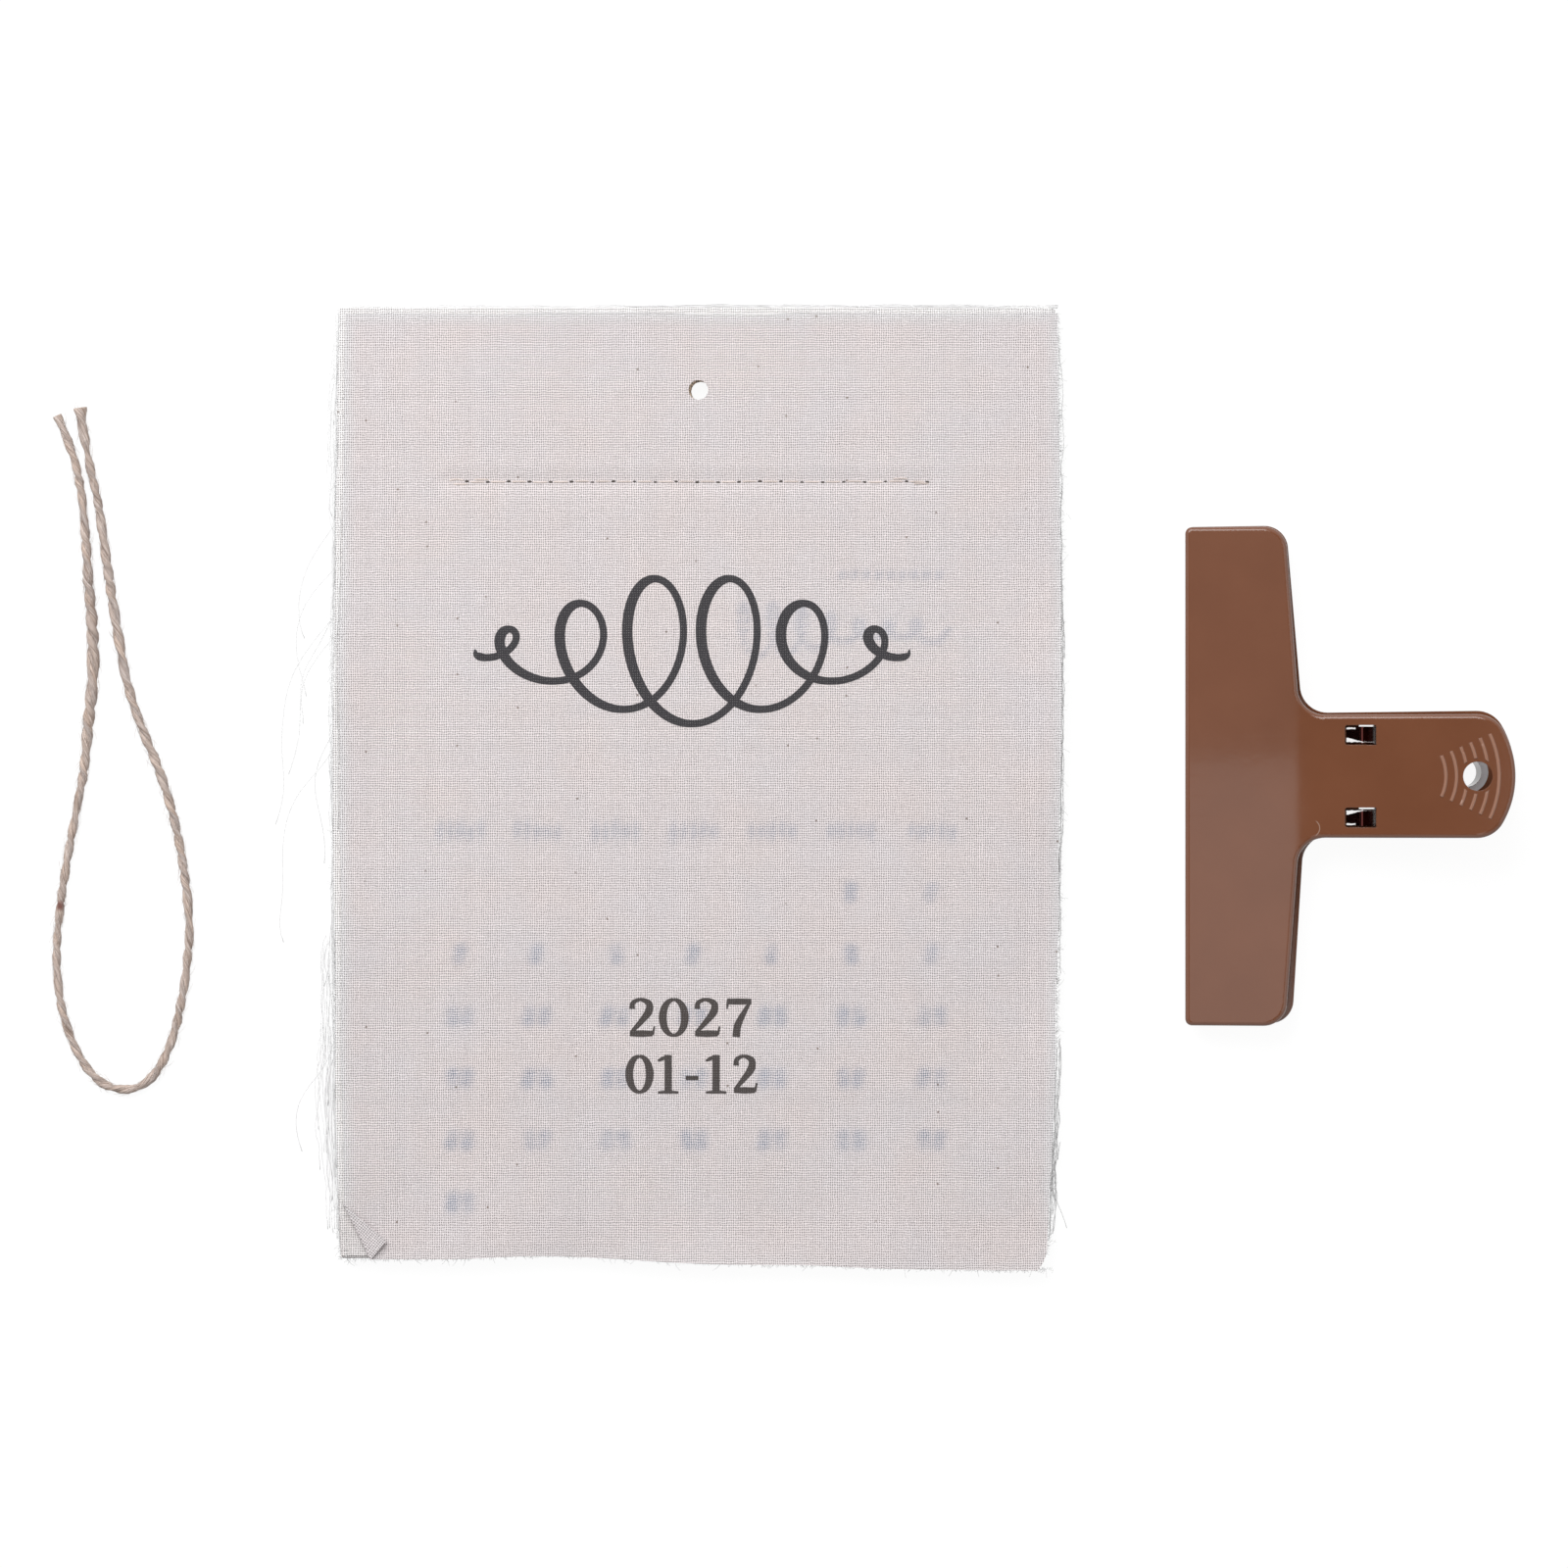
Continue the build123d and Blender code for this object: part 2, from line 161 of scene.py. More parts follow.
def addFlatMap(piece, name, places):
    # a map with one place for each vertex
    layer = piece.data.uv_layers.new(name=name)
    corners = np.zeros(len(piece.data.loops), np.int32)
    piece.data.loops.foreach_get("vertex_index", corners)
    layer.data.foreach_set("uv", np.array(places)[corners].ravel())


def addShares(piece, name, shares):
    layer = piece.data.attributes.new(name, "FLOAT", "POINT")
    layer.data.foreach_set("value", np.array(shares, np.float32))


def lineFrame(path, up=(0, 0, 1)):
    # the directions beside and over a line, at each of its points
    tangent = np.gradient(path, axis=0)
    tangent /= np.linalg.norm(tangent, axis=1)[:, None]
    side = np.cross(np.asarray(up, float), tangent)
    side /= np.maximum(np.linalg.norm(side, axis=1), 1e-9)[:, None]
    return side, np.cross(tangent, side)


def roughAt(*place):
    return noise.noise(Vector(place))


class Bundle:
    # collects many tubes into one mesh
    def __init__(self):
        self.vertices = []
        self.faces = []

    def tube(self, path, radii, sides, up=(0, 0, 1), flat=1.0):
        path = np.asarray(path, float)
        side, lift = lineFrame(path, up)
        start = len(self.vertices)
        turns = [2 * math.pi * k / sides for k in range(sides)]
        for point, across, over, radius in zip(path, side, lift, radii):
            for turn in turns:
                out = across * math.cos(turn) + over * flat * math.sin(turn)
                self.vertices.append(point + radius * out)
        self.close(start, len(path), sides)

    def close(self, start, rings, sides):
        for ring in range(rings - 1):
            for k in range(sides):
                a = start + ring * sides + k
                b = start + ring * sides + (k + 1) % sides
                self.faces.append((a, b, b + sides, a + sides))
        self.faces.append(tuple(start + k for k in reversed(range(sides))))
        last = start + (rings - 1) * sides
        self.faces.append(tuple(last + k for k in range(sides)))

    def piece(self, name, material):
        return addPiece(name, self.vertices, self.faces, material)


# camera over the middle of the picture, and the light

studio = {
    "viewCentre": (17.86, -82.05),
    "viewWidth": 326.5,
    "lens": 100,
    "sensor": 36,
    "planeHeight": 4.0,
    "ambient": 0.40,
    "lampSize": 1.1,
    "lamps": {"keyLamp": ((-0.45, 0.80, 0.95), 21.0), "fillLamp": ((0.90, -0.10, 1.1), 3.0)},
    "floorHalf": 3.0,
    "floorLevel": -0.1,
    "floorColour": (0.62, 0.62, 0.62, 1),
    "floorSeen": (0.10, 0.10, 0.10, 1),
    "floorGlow": 0.93,
    "cardColour": (0.01, 0.01, 0.01, 1),
    "cardHeight": 1.35,
    "cardReach": 1.0,
    "cardOpening": (-0.108, 0.06, -0.069),
    "cardGlows": (0.0, 0.42, 1.40),
}


def makeCamera():
    data = bpy.data.cameras.new("overheadCamera")
    data.lens = studio["lens"]
    data.sensor_width = studio["sensor"]
    camera = bpy.data.objects.new("overheadCamera", data)
    scene.collection.objects.link(camera)
    distance = studio["viewWidth"] * studio["lens"] / studio["sensor"]
    x, y = studio["viewCentre"]
    camera.location = (x * mm, y * mm, (studio["planeHeight"] + distance) * mm)
    scene.camera = camera


def areaLamp(name, place, power):
    data = bpy.data.lights.new(name, "AREA")
    data.shape = "SQUARE"
    data.size = studio["lampSize"]
    data.energy = power
    lamp = bpy.data.objects.new(name, data)
    lamp.location = place
    x, y = studio["viewCentre"]
    aim = Vector((x * mm, y * mm, 0)) - lamp.location
    lamp.rotation_euler = aim.to_track_quat("-Z", "Y").to_euler()
    scene.collection.objects.link(lamp)


def seenRays(tree):
    path = node(tree, "ShaderNodeLightPath").outputs
    rays = calc(tree, "ADD", path["Is Camera Ray"], path["Is Glossy Ray"])
    return calc(tree, "ADD", rays, path["Is Transmission Ray"], clamp=True)


def makeLight():
    world = bpy.data.worlds.new("paleRoom")
    scene.world = world
    world.use_nodes = True
    tree = world.node_tree
    strength = spread(tree, seenRays(tree), 0, 1, studio["ambient"], 1)
    setInputs(tree, tree.nodes["Background"], {"Color": white, "Strength": strength})
    for name, (place, power) in studio["lamps"].items():
        areaLamp(name, place, power)


def makeFloor():
    material, tree, shader = newMaterial("paleFloor")
    rays = seenRays(tree)
    setInputs(tree, shader, {
        "Base Color": mixColour(tree, rays, studio["floorColour"], studio["floorSeen"]),
        "Roughness": 0.9,
        "Specular IOR Level": 0.0,
        "Emission Color": white,
        "Emission Strength": times(tree, rays, studio["floorGlow"]),
    })
    half = studio["floorHalf"]
    level = studio["floorLevel"] * mm
    corners = [(-half, -half, level), (half, -half, level), (half, half, level), (-half, half, level)]
    addMesh("paleFloor", corners, [(0, 1, 2, 3)], material)


def makeCard(name, spans, glow):
    vertices, faces = [], []
    level = studio["cardHeight"]
    for x0, x1, y0, y1 in spans:
        first = len(vertices)
        vertices += [(x0, y0, level), (x0, y1, level), (x1, y1, level), (x1, y0, level)]
        faces.append((first, first + 1, first + 2, first + 3))
    material, tree, shader = newMaterial(name)
    setInputs(tree, shader, {
        "Base Color": studio["cardColour"],
        "Specular IOR Level": 0.0,
        "Emission Color": white,
        "Emission Strength": glow,
    })
    card = addMesh(name, vertices, faces, material)
    card.visible_camera = False
    card.visible_diffuse = False
    card.visible_transmission = False
    card.visible_shadow = False


def makeCards():
    # cards above the camera that only gloss can see: the clip's jaw mirrors the grey and the bright one
    left, right, top = studio["cardOpening"]
    reach = studio["cardReach"]
    dark, grey, bright = studio["cardGlows"]
    makeCard("darkCard", [(-reach, left, -reach, reach), (right, reach, -reach, reach)], dark)
    makeCard("greyCard", [(left, right, top, reach)], grey)
    makeCard("brightCard", [(left, right, -reach, top)], bright)


makeCamera()
makeLight()
makeFloor()
makeCards()
print("camera, light and floor ready")


# woven cloth: one group for the weave, used by the sheets and by the ink on them
# a range holds two values that come in and the two that they become

weave = {
    "flatMap": "clothFlat",
    "inputs": {"Warp": 0.46, "Weft": 0.494, "Wander": 0.30, "Uneven": 0.40},
    "shifts": {"Wander": (0.16, 3.0), "Uneven": (0.95, 2.0)},
    "slub": (2.4, 2.0),
    "slubStretch": ((0.9, 0.16, 0.0), (0.16, 0.9, 0.0)),
    "slubShare": 0.8,
    "threadShare": 0.18,
    "gapRange": (0.05, 0.40),
    "gapShadeDepth": 0.78,
    "fleckScale": 0.16,
    "fleckChosen": (0.90, 0.93),
    "fleckNear": (0.026, 0.048, 0.8, 0.0),
    "patch": (0.055, 4.0, 0.6),
    "patchRange": (0.34, 0.66),
    "toneRange": (0.25, 0.85, 0.84, 1.12),
    "crownShadeRange": (0.1, 0.95, 0.76, 1.10),
    "ghostRange": (0.40, 0.80, 1.0, 0.0),
    "holeRange": (2.3, 3.2, 0.9, 0.0),
    "roughRange": (0, 1, 0.95, 0.82),
    "inkWornRange": (0.35, 0.75, 0.45, 1.0),
    "inkCrownRange": (0.72, 1.0),
    "inkRoughRange": (0, 1, 0.9, 0.75),
    "bumpDepth": 0.09,
    "clothColour": (0.775, 0.715, 0.718, 1),
    "clothRim": (0.765, 0.757, 0.767, 1),
    "pageColour": (0.80, 0.755, 0.745, 1),
    "pageRimPaleAndPaintedLight": (0.91, 0.903, 0.903, 1),
    "pageHoleTanAndPaintedLight": (0.96, 0.80, 0.64, 1),
    "gapShadeColour": (0.12, 0.105, 0.105, 1),
    "warmTint": (1.0, 0.982, 0.970, 1),
    "coolTint": (0.975, 0.988, 1.0, 1),
    "fleckColour": (0.17, 0.125, 0.10, 1),
    "ghostColour": (0.14, 0.22, 0.34, 1),
    "inkColour": (0.040, 0.038, 0.042, 1),
    "inkWornColour": (0.24, 0.228, 0.232, 1),
    "numberColour": (0.065, 0.055, 0.052, 1),
}


def makeWeaveGroup():
    group = bpy.data.node_groups.new("plainWeave", "ShaderNodeTree")
    face = group.interface
    face.new_socket("Place", in_out="INPUT", socket_type="NodeSocketVector")
    for name in weave["inputs"]:
        face.new_socket(name, in_out="INPUT", socket_type="NodeSocketFloat")
    inside = node(group, "NodeGroupInput").outputs
    place = inside["Place"]
    moved = place
    for name, (scale, detail) in weave["shifts"].items():
        drift = noiseAt(group, place, scale, detail, output="Color")
        shift = vectorCalc(group, "SUBTRACT", drift, (0.5, 0.5, 0.5))
        moved = vectorCalc(group, "ADD", moved, scaleVector(group, shift, inside[name]))
    split = splitPlace(group, moved)
    rounds, numbers = [], []
    for axis, pitch in (("X", "Warp"), ("Y", "Weft")):
        along = calc(group, "DIVIDE", split[axis], inside[pitch])
        rounds.append(calc(group, "ABSOLUTE", calc(group, "SINE", times(group, along, math.pi))))
        numbers.append(calc(group, "FLOOR", along))
    # threads lie over and under in turn, and the higher one shows
    warpRound, weftRound = rounds
    parity = calc(group, "FLOORED_MODULO", calc(group, "ADD", *numbers), 2.0)
    over = calc(group, "SUBTRACT", 0.5, parity)
    warpRise = times(group, warpRound, calc(group, "MULTIPLY_ADD", over, weftRound, 0.5))
    weftRise = times(group, weftRound, calc(group, "SUBTRACT", 0.5, times(group, over, warpRound)))
    bare = times(group, *[calc(group, "SUBTRACT", 1.0, value) for value in rounds])
    tones = []
    for number, stretch in zip(numbers, weave["slubStretch"]):
        thread = node(group, "ShaderNodeTexWhiteNoise", {"W": number}, noise_dimensions="1D").outputs["Value"]
        slub = noiseAt(group, vectorCalc(group, "MULTIPLY", moved, stretch), *weave["slub"])
        slub = times(group, slub, weave["slubShare"])
        tones.append(calc(group, "MULTIPLY_ADD", thread, weave["threadShare"], slub))
    cellInputs = {"Vector": place, "Scale": weave["fleckScale"]}
    cells = node(group, "ShaderNodeTexVoronoi", cellInputs, voronoi_dimensions="2D").outputs
    pick = node(group, "ShaderNodeSeparateColor", {0: cells["Color"]}).outputs[0]
    chosen = spread(group, pick, *weave["fleckChosen"])
    made = {
        "Height": calc(group, "MAXIMUM", warpRise, weftRise),
        "Gap": spread(group, bare, *weave["gapRange"]),
        "Tone": node(group, "ShaderNodeMix", {0: parity, 2: tones[0], 3: tones[1]}).outputs[0],
        "Fleck": times(group, chosen, spread(group, cells["Distance"], *weave["fleckNear"])),
        "Patch": spread(group, noiseAt(group, place, *weave["patch"]), *weave["patchRange"]),
    }
    for name in made:
        face.new_socket(name, in_out="OUTPUT", socket_type="NodeSocketFloat")
    node(group, "NodeGroupOutput", made)
    return group


weaveGroup = makeWeaveGroup()


def placeWeave(tree):
    flat = node(tree, "ShaderNodeUVMap", uv_map=weave["flatMap"]).outputs[0]
    place = scaleVector(tree, flat, 1 / mm)
    inputs = {"Place": place, **weave["inputs"]}
    return node(tree, "ShaderNodeGroup", inputs, node_tree=weaveGroup).outputs, place


def clothMaterial(name, colour, rimColour, cover):
    material, tree, shader = newMaterial(name)
    woven, place = placeWeave(tree)
    height = woven["Height"]
    tint = mixColour(tree, woven["Patch"], weave["warmTint"], weave["coolTint"])
    cloth = mixColour(tree, 1.0, colour, tint, "MULTIPLY")
    # near the cut edges the colour turns to the rim colour: on the cover a paler bluish edge tone, on the
    # pages a much paler one that is partly the frayed edge and partly painted light lifting the shade between
    # the stacked edges
    rim = node(tree, "ShaderNodeAttribute", attribute_name="rim").outputs["Fac"]
    cloth = mixColour(tree, rim, cloth, rimColour)
    if not cover:
        # round the hole the pages turn light tan: partly the cut edge's own tan, partly painted light for the
        # glow through the cloth in the hole's shade
        nearHole = spread(tree, vectorCalc(tree, "LENGTH", place), *weave["holeRange"])
        cloth = mixColour(tree, nearHole, cloth, weave["pageHoleTanAndPaintedLight"])
    tone = spread(tree, woven["Tone"], *weave["toneRange"])
    # the threads' crowns are painted lighter and their sides darker: painted light and shade on the weave,
    # over each thread's own tone
    level = times(tree, tone, spread(tree, height, *weave["crownShadeRange"]))
    grey = node(tree, "ShaderNodeCombineColor", {0: level, 1: level, 2: level}).outputs[0]
    cloth = mixColour(tree, 1.0, cloth, grey, "MULTIPLY")
    if cover:
        mark = node(tree, "ShaderNodeAttribute", attribute_name="ghost").outputs["Fac"]
        through = times(tree, mark, spread(tree, height, *weave["ghostRange"]))
        cloth = mixColour(tree, through, cloth, weave["ghostColour"])
    # the bare gaps between the threads are painted near black: painted shade where the threads part
    cloth = mixColour(tree, times(tree, woven["Gap"], weave["gapShadeDepth"]), cloth, weave["gapShadeColour"])
    setInputs(tree, shader, {
        "Base Color": mixColour(tree, woven["Fleck"], cloth, weave["fleckColour"]),
        "Roughness": spread(tree, height, *weave["roughRange"]),
        "Sheen Weight": 0.08,
        "Specular IOR Level": 0.2,
    })
    addBump(tree, shader, height, 0.25, weave["bumpDepth"])
    return material


def inkMaterial(name, colour):
    material, tree, shader = newMaterial(name)
    woven, _ = placeWeave(tree)
    height = woven["Height"]
    worn = spread(tree, woven["Tone"], *weave["inkWornRange"])
    worn = times(tree, worn, spread(tree, height, *weave["inkCrownRange"]))
    setInputs(tree, shader, {
        "Base Color": mixColour(tree, worn, colour, weave["inkWornColour"]),
        "Roughness": spread(tree, height, *weave["inkRoughRange"]),
        "Specular IOR Level": 0.15,
    })
    addBump(tree, shader, height, 0.5, weave["bumpDepth"])
    return material


coverCloth = clothMaterial("coverCloth", weave["clothColour"], weave["clothRim"], True)
pageCloth = clothMaterial("pageCloth", weave["pageColour"], weave["pageRimPaleAndPaintedLight"], False)
scriptInk = inkMaterial("scriptInk", weave["inkColour"])
numberInk = inkMaterial("numberInk", weave["numberColour"])


# cloth sheets, in millimetres from the hanging hole

pad = {
    "pages": 12,
    "layer": 0.32,
    "cloth": 0.25,
    "puff": 0.13,
    "puffReach": 26.0,
    "puffFade": 40,
    "puffRough": (0.55, 0.9, 0.035),
    "openings": (0.5, 1.5),
    "holeRadius": 2.05,
    "holeBlock": 4.0,
    "holeStray": 0.5,
    "holeRings": (0.4, 0.75, 1.0),
    "rimReach": 2.6,
    "rimShare": 0.85,
    "rimFootShare": 0.25,
    "rimFootFrom": 2,
    "rimFootFade": 14,
    "seamY": -19.1,
    "seamMiddle": -2.4,
    "seamHalf": 50.5,
    "seamDip": 0.30,
    "seamDipReach": 1.5,
    "pageStep": 2.4,
    "coverStep": 0.9,
    "edgeFade": 14.0,
    "pageStray": {"left": (-0.1, 0.3), "right": (-1.4, -0.6), "top": (-0.3, 0.1), "foot": (0.3, 1.0)},
    "seed": 11,
    "edgeSeeds": (2, 13, 191),
}
pageEdges = {"left": -74.6, "right": 75.0, "top": 17.1, "foot": -182.1, "flat": (149.6, 200.0)}
coverEdges = {"left": -73.3, "right": 74.8, "top": 15.9, "foot": -182.2, "flat": (148.2, 198.9)}
edgeShape = {
    "leftBow": 1.2,
    "rightBow": 0.9,
    "rightTaper": 2.2,
    "cornerReach": 4.5,
    "cornerCut": 1.7,
    "footSlope": -0.0142,
    "footWaves": ((1.4, -27, 26), (-0.4, 62, 15)),
    "wanderScale": 0.045,
    "seedScale": 7.31,
    "wander": {"left": (0, 0.5), "right": (3, 0.5), "top": (5, 0.35), "foot": (8, 0.45)},
}
dogEar = {"side": (-73.4, -169.4), "foot": (-67.9, -180.9), "bend": 0.16, "lift": 0.10}


def limit(value, low=0, high=1):
    return min(high, max(low, value))


def sheetEdges(level):
    return coverEdges if level == pad["pages"] else pageEdges


def sheetSeed(level):
    first, step, cover = pad["edgeSeeds"]
    return cover if level == pad["pages"] else first + step * level


def edgeAt(side, t, edges, seed):
    # where a cut edge runs, at the place t along it
    line = edges[side]
    share = (edges["top"] - t) / (edges["top"] - edges["foot"])
    bow = 4 * share * (1 - share)
    if side == "left":
        line -= edgeShape["leftBow"] * bow
    elif side == "right":
        corner = limit(1 - (t - edges["foot"]) / edgeShape["cornerReach"])
        line += edgeShape["rightBow"] * bow - edgeShape["rightTaper"] * share**3
        line -= edgeShape["cornerCut"] * corner**2
    elif side == "foot":
        line += edgeShape["footSlope"] * t
        for size, middle, reach in edgeShape["footWaves"]:
            line += size * math.exp(-(((t - middle) / reach) ** 2))
    step, size = edgeShape["wander"][side]
    return line + size * roughAt(t * edgeShape["wanderScale"], (seed + step) * edgeShape["seedScale"], 0.5)


def layerShares():
    draw = random.Random(pad["seed"])
    gaps = [0.0] + [draw.uniform(*pad["openings"]) for _ in range(pad["pages"])]
    return np.cumsum(gaps)


openings = layerShares()


def puffAt(x, y):
    # how far the loose sheets stand apart, more towards the free edges
    toSide = min(x - pageEdges["left"], pageEdges["right"] - x)
    toFoot = y - pageEdges["foot"]
    reach = pad["puffReach"]
    free = max(0.0, 1 - toSide / reach, 1 - toFoot / reach)
    free *= limit((pad["seamY"] - y) / pad["puffFade"])
    base, size, scale = pad["puffRough"]
    rough = base + size * roughAt(x * scale, y * scale, 2.0)
    return free * free * max(0.0, rough)


def seamPull(x, y):
    reach = pad["seamDipReach"]
    ends = max(0.0, abs(x - pad["seamMiddle"]) - pad["seamHalf"])
    return math.exp(-(((y - pad["seamY"]) / reach) ** 2) - (ends / reach) ** 2)


def sheetTop(x, y, level):
    base = (level + 1) * pad["layer"]
    rise = pad["puff"] * puffAt(x, y) * openings[level]
    dip = pad["seamDip"] * seamPull(x, y) * level / pad["pages"]
    return base + rise - dip


def gridLines(low, high, step):
    block = pad["holeBlock"]
    inner = 2 * max(2, round(block / step))
    before = np.linspace(low, -block, max(2, round((-block - low) / step)), endpoint=False)
    middle = np.linspace(-block, block, inner, endpoint=False)
    after = np.linspace(block, high, max(2, round((high - block) / step)) + 1)
    return np.concatenate([before, middle, after]), len(before), inner


def sheetPlaces(edges, seed, step):
    # flat places of a sheet's grid, with its edges drawn to their real line
    xs, _, _ = gridLines(edges["left"], edges["right"], step)
    ys, _, _ = gridLines(edges["foot"], edges["top"], step)
    fade = pad["edgeFade"]
    ends = []
    for x in xs:
        ends.append([edgeAt(side, x, edges, seed) - edges[side] for side in ("top", "foot")])
    places = []
    for y in ys:
        leftMove, rightMove = (edgeAt(side, y, edges, seed) - edges[side] for side in ("left", "right"))
        for x, (topMove, footMove) in zip(xs, ends):
            px = x + leftMove * max(0, 1 - (x - edges["left"]) / fade)
            px += rightMove * max(0, 1 - (edges["right"] - x) / fade)
            py = y + topMove * max(0, 1 - (edges["top"] - y) / fade)
            py += footMove * max(0, 1 - (y - edges["foot"]) / (3 * fade))
            places.append((px, py))
    return np.array(places)


def sheetFaces(edges, step, places, holeX):
    # the grid's faces, with a round hole let into its middle block
    xs, x0, inner = gridLines(edges["left"], edges["right"], step)
    ys, y0, _ = gridLines(edges["foot"], edges["top"], step)
    x1, y1 = x0 + inner, y0 + inner
    wide = len(xs)
    faces = []
    for j in range(len(ys) - 1):
        for i in range(wide - 1):
            if not (x0 <= i < x1 and y0 <= j < y1):
                a = j * wide + i
                faces.append((a, a + 1, a + wide + 1, a + wide))
    rim = [y0 * wide + i for i in range(x0, x1)]
    rim += [j * wide + x1 for j in range(y0, y1)]
    rim += [y1 * wide + i for i in range(x1, x0, -1)]
    rim += [j * wide + x0 for j in range(y1, y0, -1)]
    rings = [rim]
    points = [tuple(p) for p in places]
    for share in pad["holeRings"]:
        ring = []
        for corner in rim:
            x, y = places[corner]
            turn = math.atan2(y, x)
            edgeX = holeX + pad["holeRadius"] * math.cos(turn)
            edgeY = pad["holeRadius"] * math.sin(turn)
            ring.append(len(points))
            points.append((x + (edgeX - x) * share, y + (edgeY - y) * share))
        rings.append(ring)
    for outer, innerRing in zip(rings, rings[1:]):
        for k in range(len(outer)):
            n = (k + 1) % len(outer)
            faces.append((outer[k], outer[n], innerRing[n], innerRing[k]))
    return points, faces


def foldCorner(mesh):
    # turns the lower left corner over its crease onto the sheet
    side = Vector((*dogEar["side"], 0)) * mm
    foot = Vector((*dogEar["foot"], 0)) * mm
    crease = (foot - side).normalized()
    outward = Vector((crease.y, -crease.x, 0))
    if outward.x > 0:
        outward = -outward
    bend = dogEar["bend"] * mm
    half = math.pi * bend
    work = bmesh.new()
    work.from_mesh(mesh)
    for share in (0, 0.25, 0.5, 0.75, 1.0):
        everything = work.verts[:] + work.edges[:] + work.faces[:]
        cut = side + outward * half * share
        bmesh.ops.bisect_plane(work, geom=everything, dist=1e-7, plane_co=cut, plane_no=outward)
    for vertex in work.verts:
        flat = Vector((vertex.co.x, vertex.co.y, 0))
        past = (flat - side).dot(outward)
        if past <= 0:
            continue
        if past < half:
            turn = past / bend
            reach, rise = bend * math.sin(turn), bend * (1 - math.cos(turn))
        else:
            reach, rise = half - past, 2 * bend + dogEar["lift"] * (past - half)
        vertex.co += outward * (reach - past) + Vector((0, 0, rise))
    work.to_mesh(mesh)
    work.free()


def addRim(sheet, points, edges, seed):
    # how near each point is to a cut edge, less towards the foot; this drives the paler rim, which on the
    # pages is partly painted light
    shares = []
    for x, y in points:
        fromSide = min(x - edgeAt("left", y, edges, seed), edgeAt("right", y, edges, seed) - x)
        fromEnd = min(edgeAt("top", x, edges, seed) - y, y - edgeAt("foot", x, edges, seed))
        fromFoot = (y - edges["foot"] - pad["rimFootFrom"]) / pad["rimFootFade"]
        near = limit(1 - min(fromSide, fromEnd) / pad["rimReach"])
        shares.append(limit(fromFoot, pad["rimFootShare"]) * pad["rimShare"] * near)
    addShares(sheet, "rim", shares)


def sharpenRim(mesh):
    uses = {}
    for face in mesh.polygons:
        for key in face.edge_keys:
            uses[key] = uses.get(key, 0) + 1
    for edge in mesh.edges:
        edge.use_edge_sharp = uses.get(edge.key) == 1


def makeSheet(name, edges, level, step, material):
    isCover = level == pad["pages"]
    seed = sheetSeed(level)
    places = sheetPlaces(edges, seed, step)
    holeX = pad["holeStray"] * (1 - level / pad["pages"])
    points, faces = sheetFaces(edges, step, places, holeX)
    used = sorted({corner for face in faces for corner in face})
    number = {old: new for new, old in enumerate(used)}
    points = [points[old] for old in used]
    faces = [tuple(number[corner] for corner in face) for face in faces]
    vertices = [(x * mm, y * mm, sheetTop(x, y, level) * mm) for x, y in points]
    sheet = addPiece(name, vertices, faces, material)
    addFlatMap(sheet, weave["flatMap"], np.array(points) * mm)
    addRim(sheet, points, edges, seed)
    if isCover:
        addGhost(sheet, np.array(points))
        foldCorner(sheet.data)
    sharpenRim(sheet.data)
    thick = sheet.modifiers.new("clothThickness", "SOLIDIFY")
    thick.thickness = pad["cloth"] * mm
    thick.offset = -1
    return sheet


# the next page's print, which shows through the cover as soft blue-grey marks

ghost = {
    "seed": 5,
    "strength": 0.82,
    "columns": [-49.5, -33.5, -17.2, -0.9, 15.4, 31.8, 48.7],
    "weekdayY": -91.9,
    "weekdayDepth": 0.62,
    "weekdayPitch": 2.1,
    "weekdayTall": (1.5, 2.3),
    "firstRowY": -104.5,
    "rowPitch": 12.9,
    "firstRowColumns": (5, 6),
    "lastRowColumns": (0,),
    "rows": 6,
    "singleRows": 2,
    "strokeAside": 1.55,
    "strokeHalf": (1.5, 1.5),
    "strokeDepth": (0.55, 1.0),
    "titleX": (8.0, 50.0),
    "titleY": (-50.0, 3.4),
    "titleSteps": 110,
    "titleTurns": 7,
    "titleDepth": 0.6,
    "lineStart": (30, -38.5),
    "lineMarks": 9,
    "linePitch": 2.5,
}


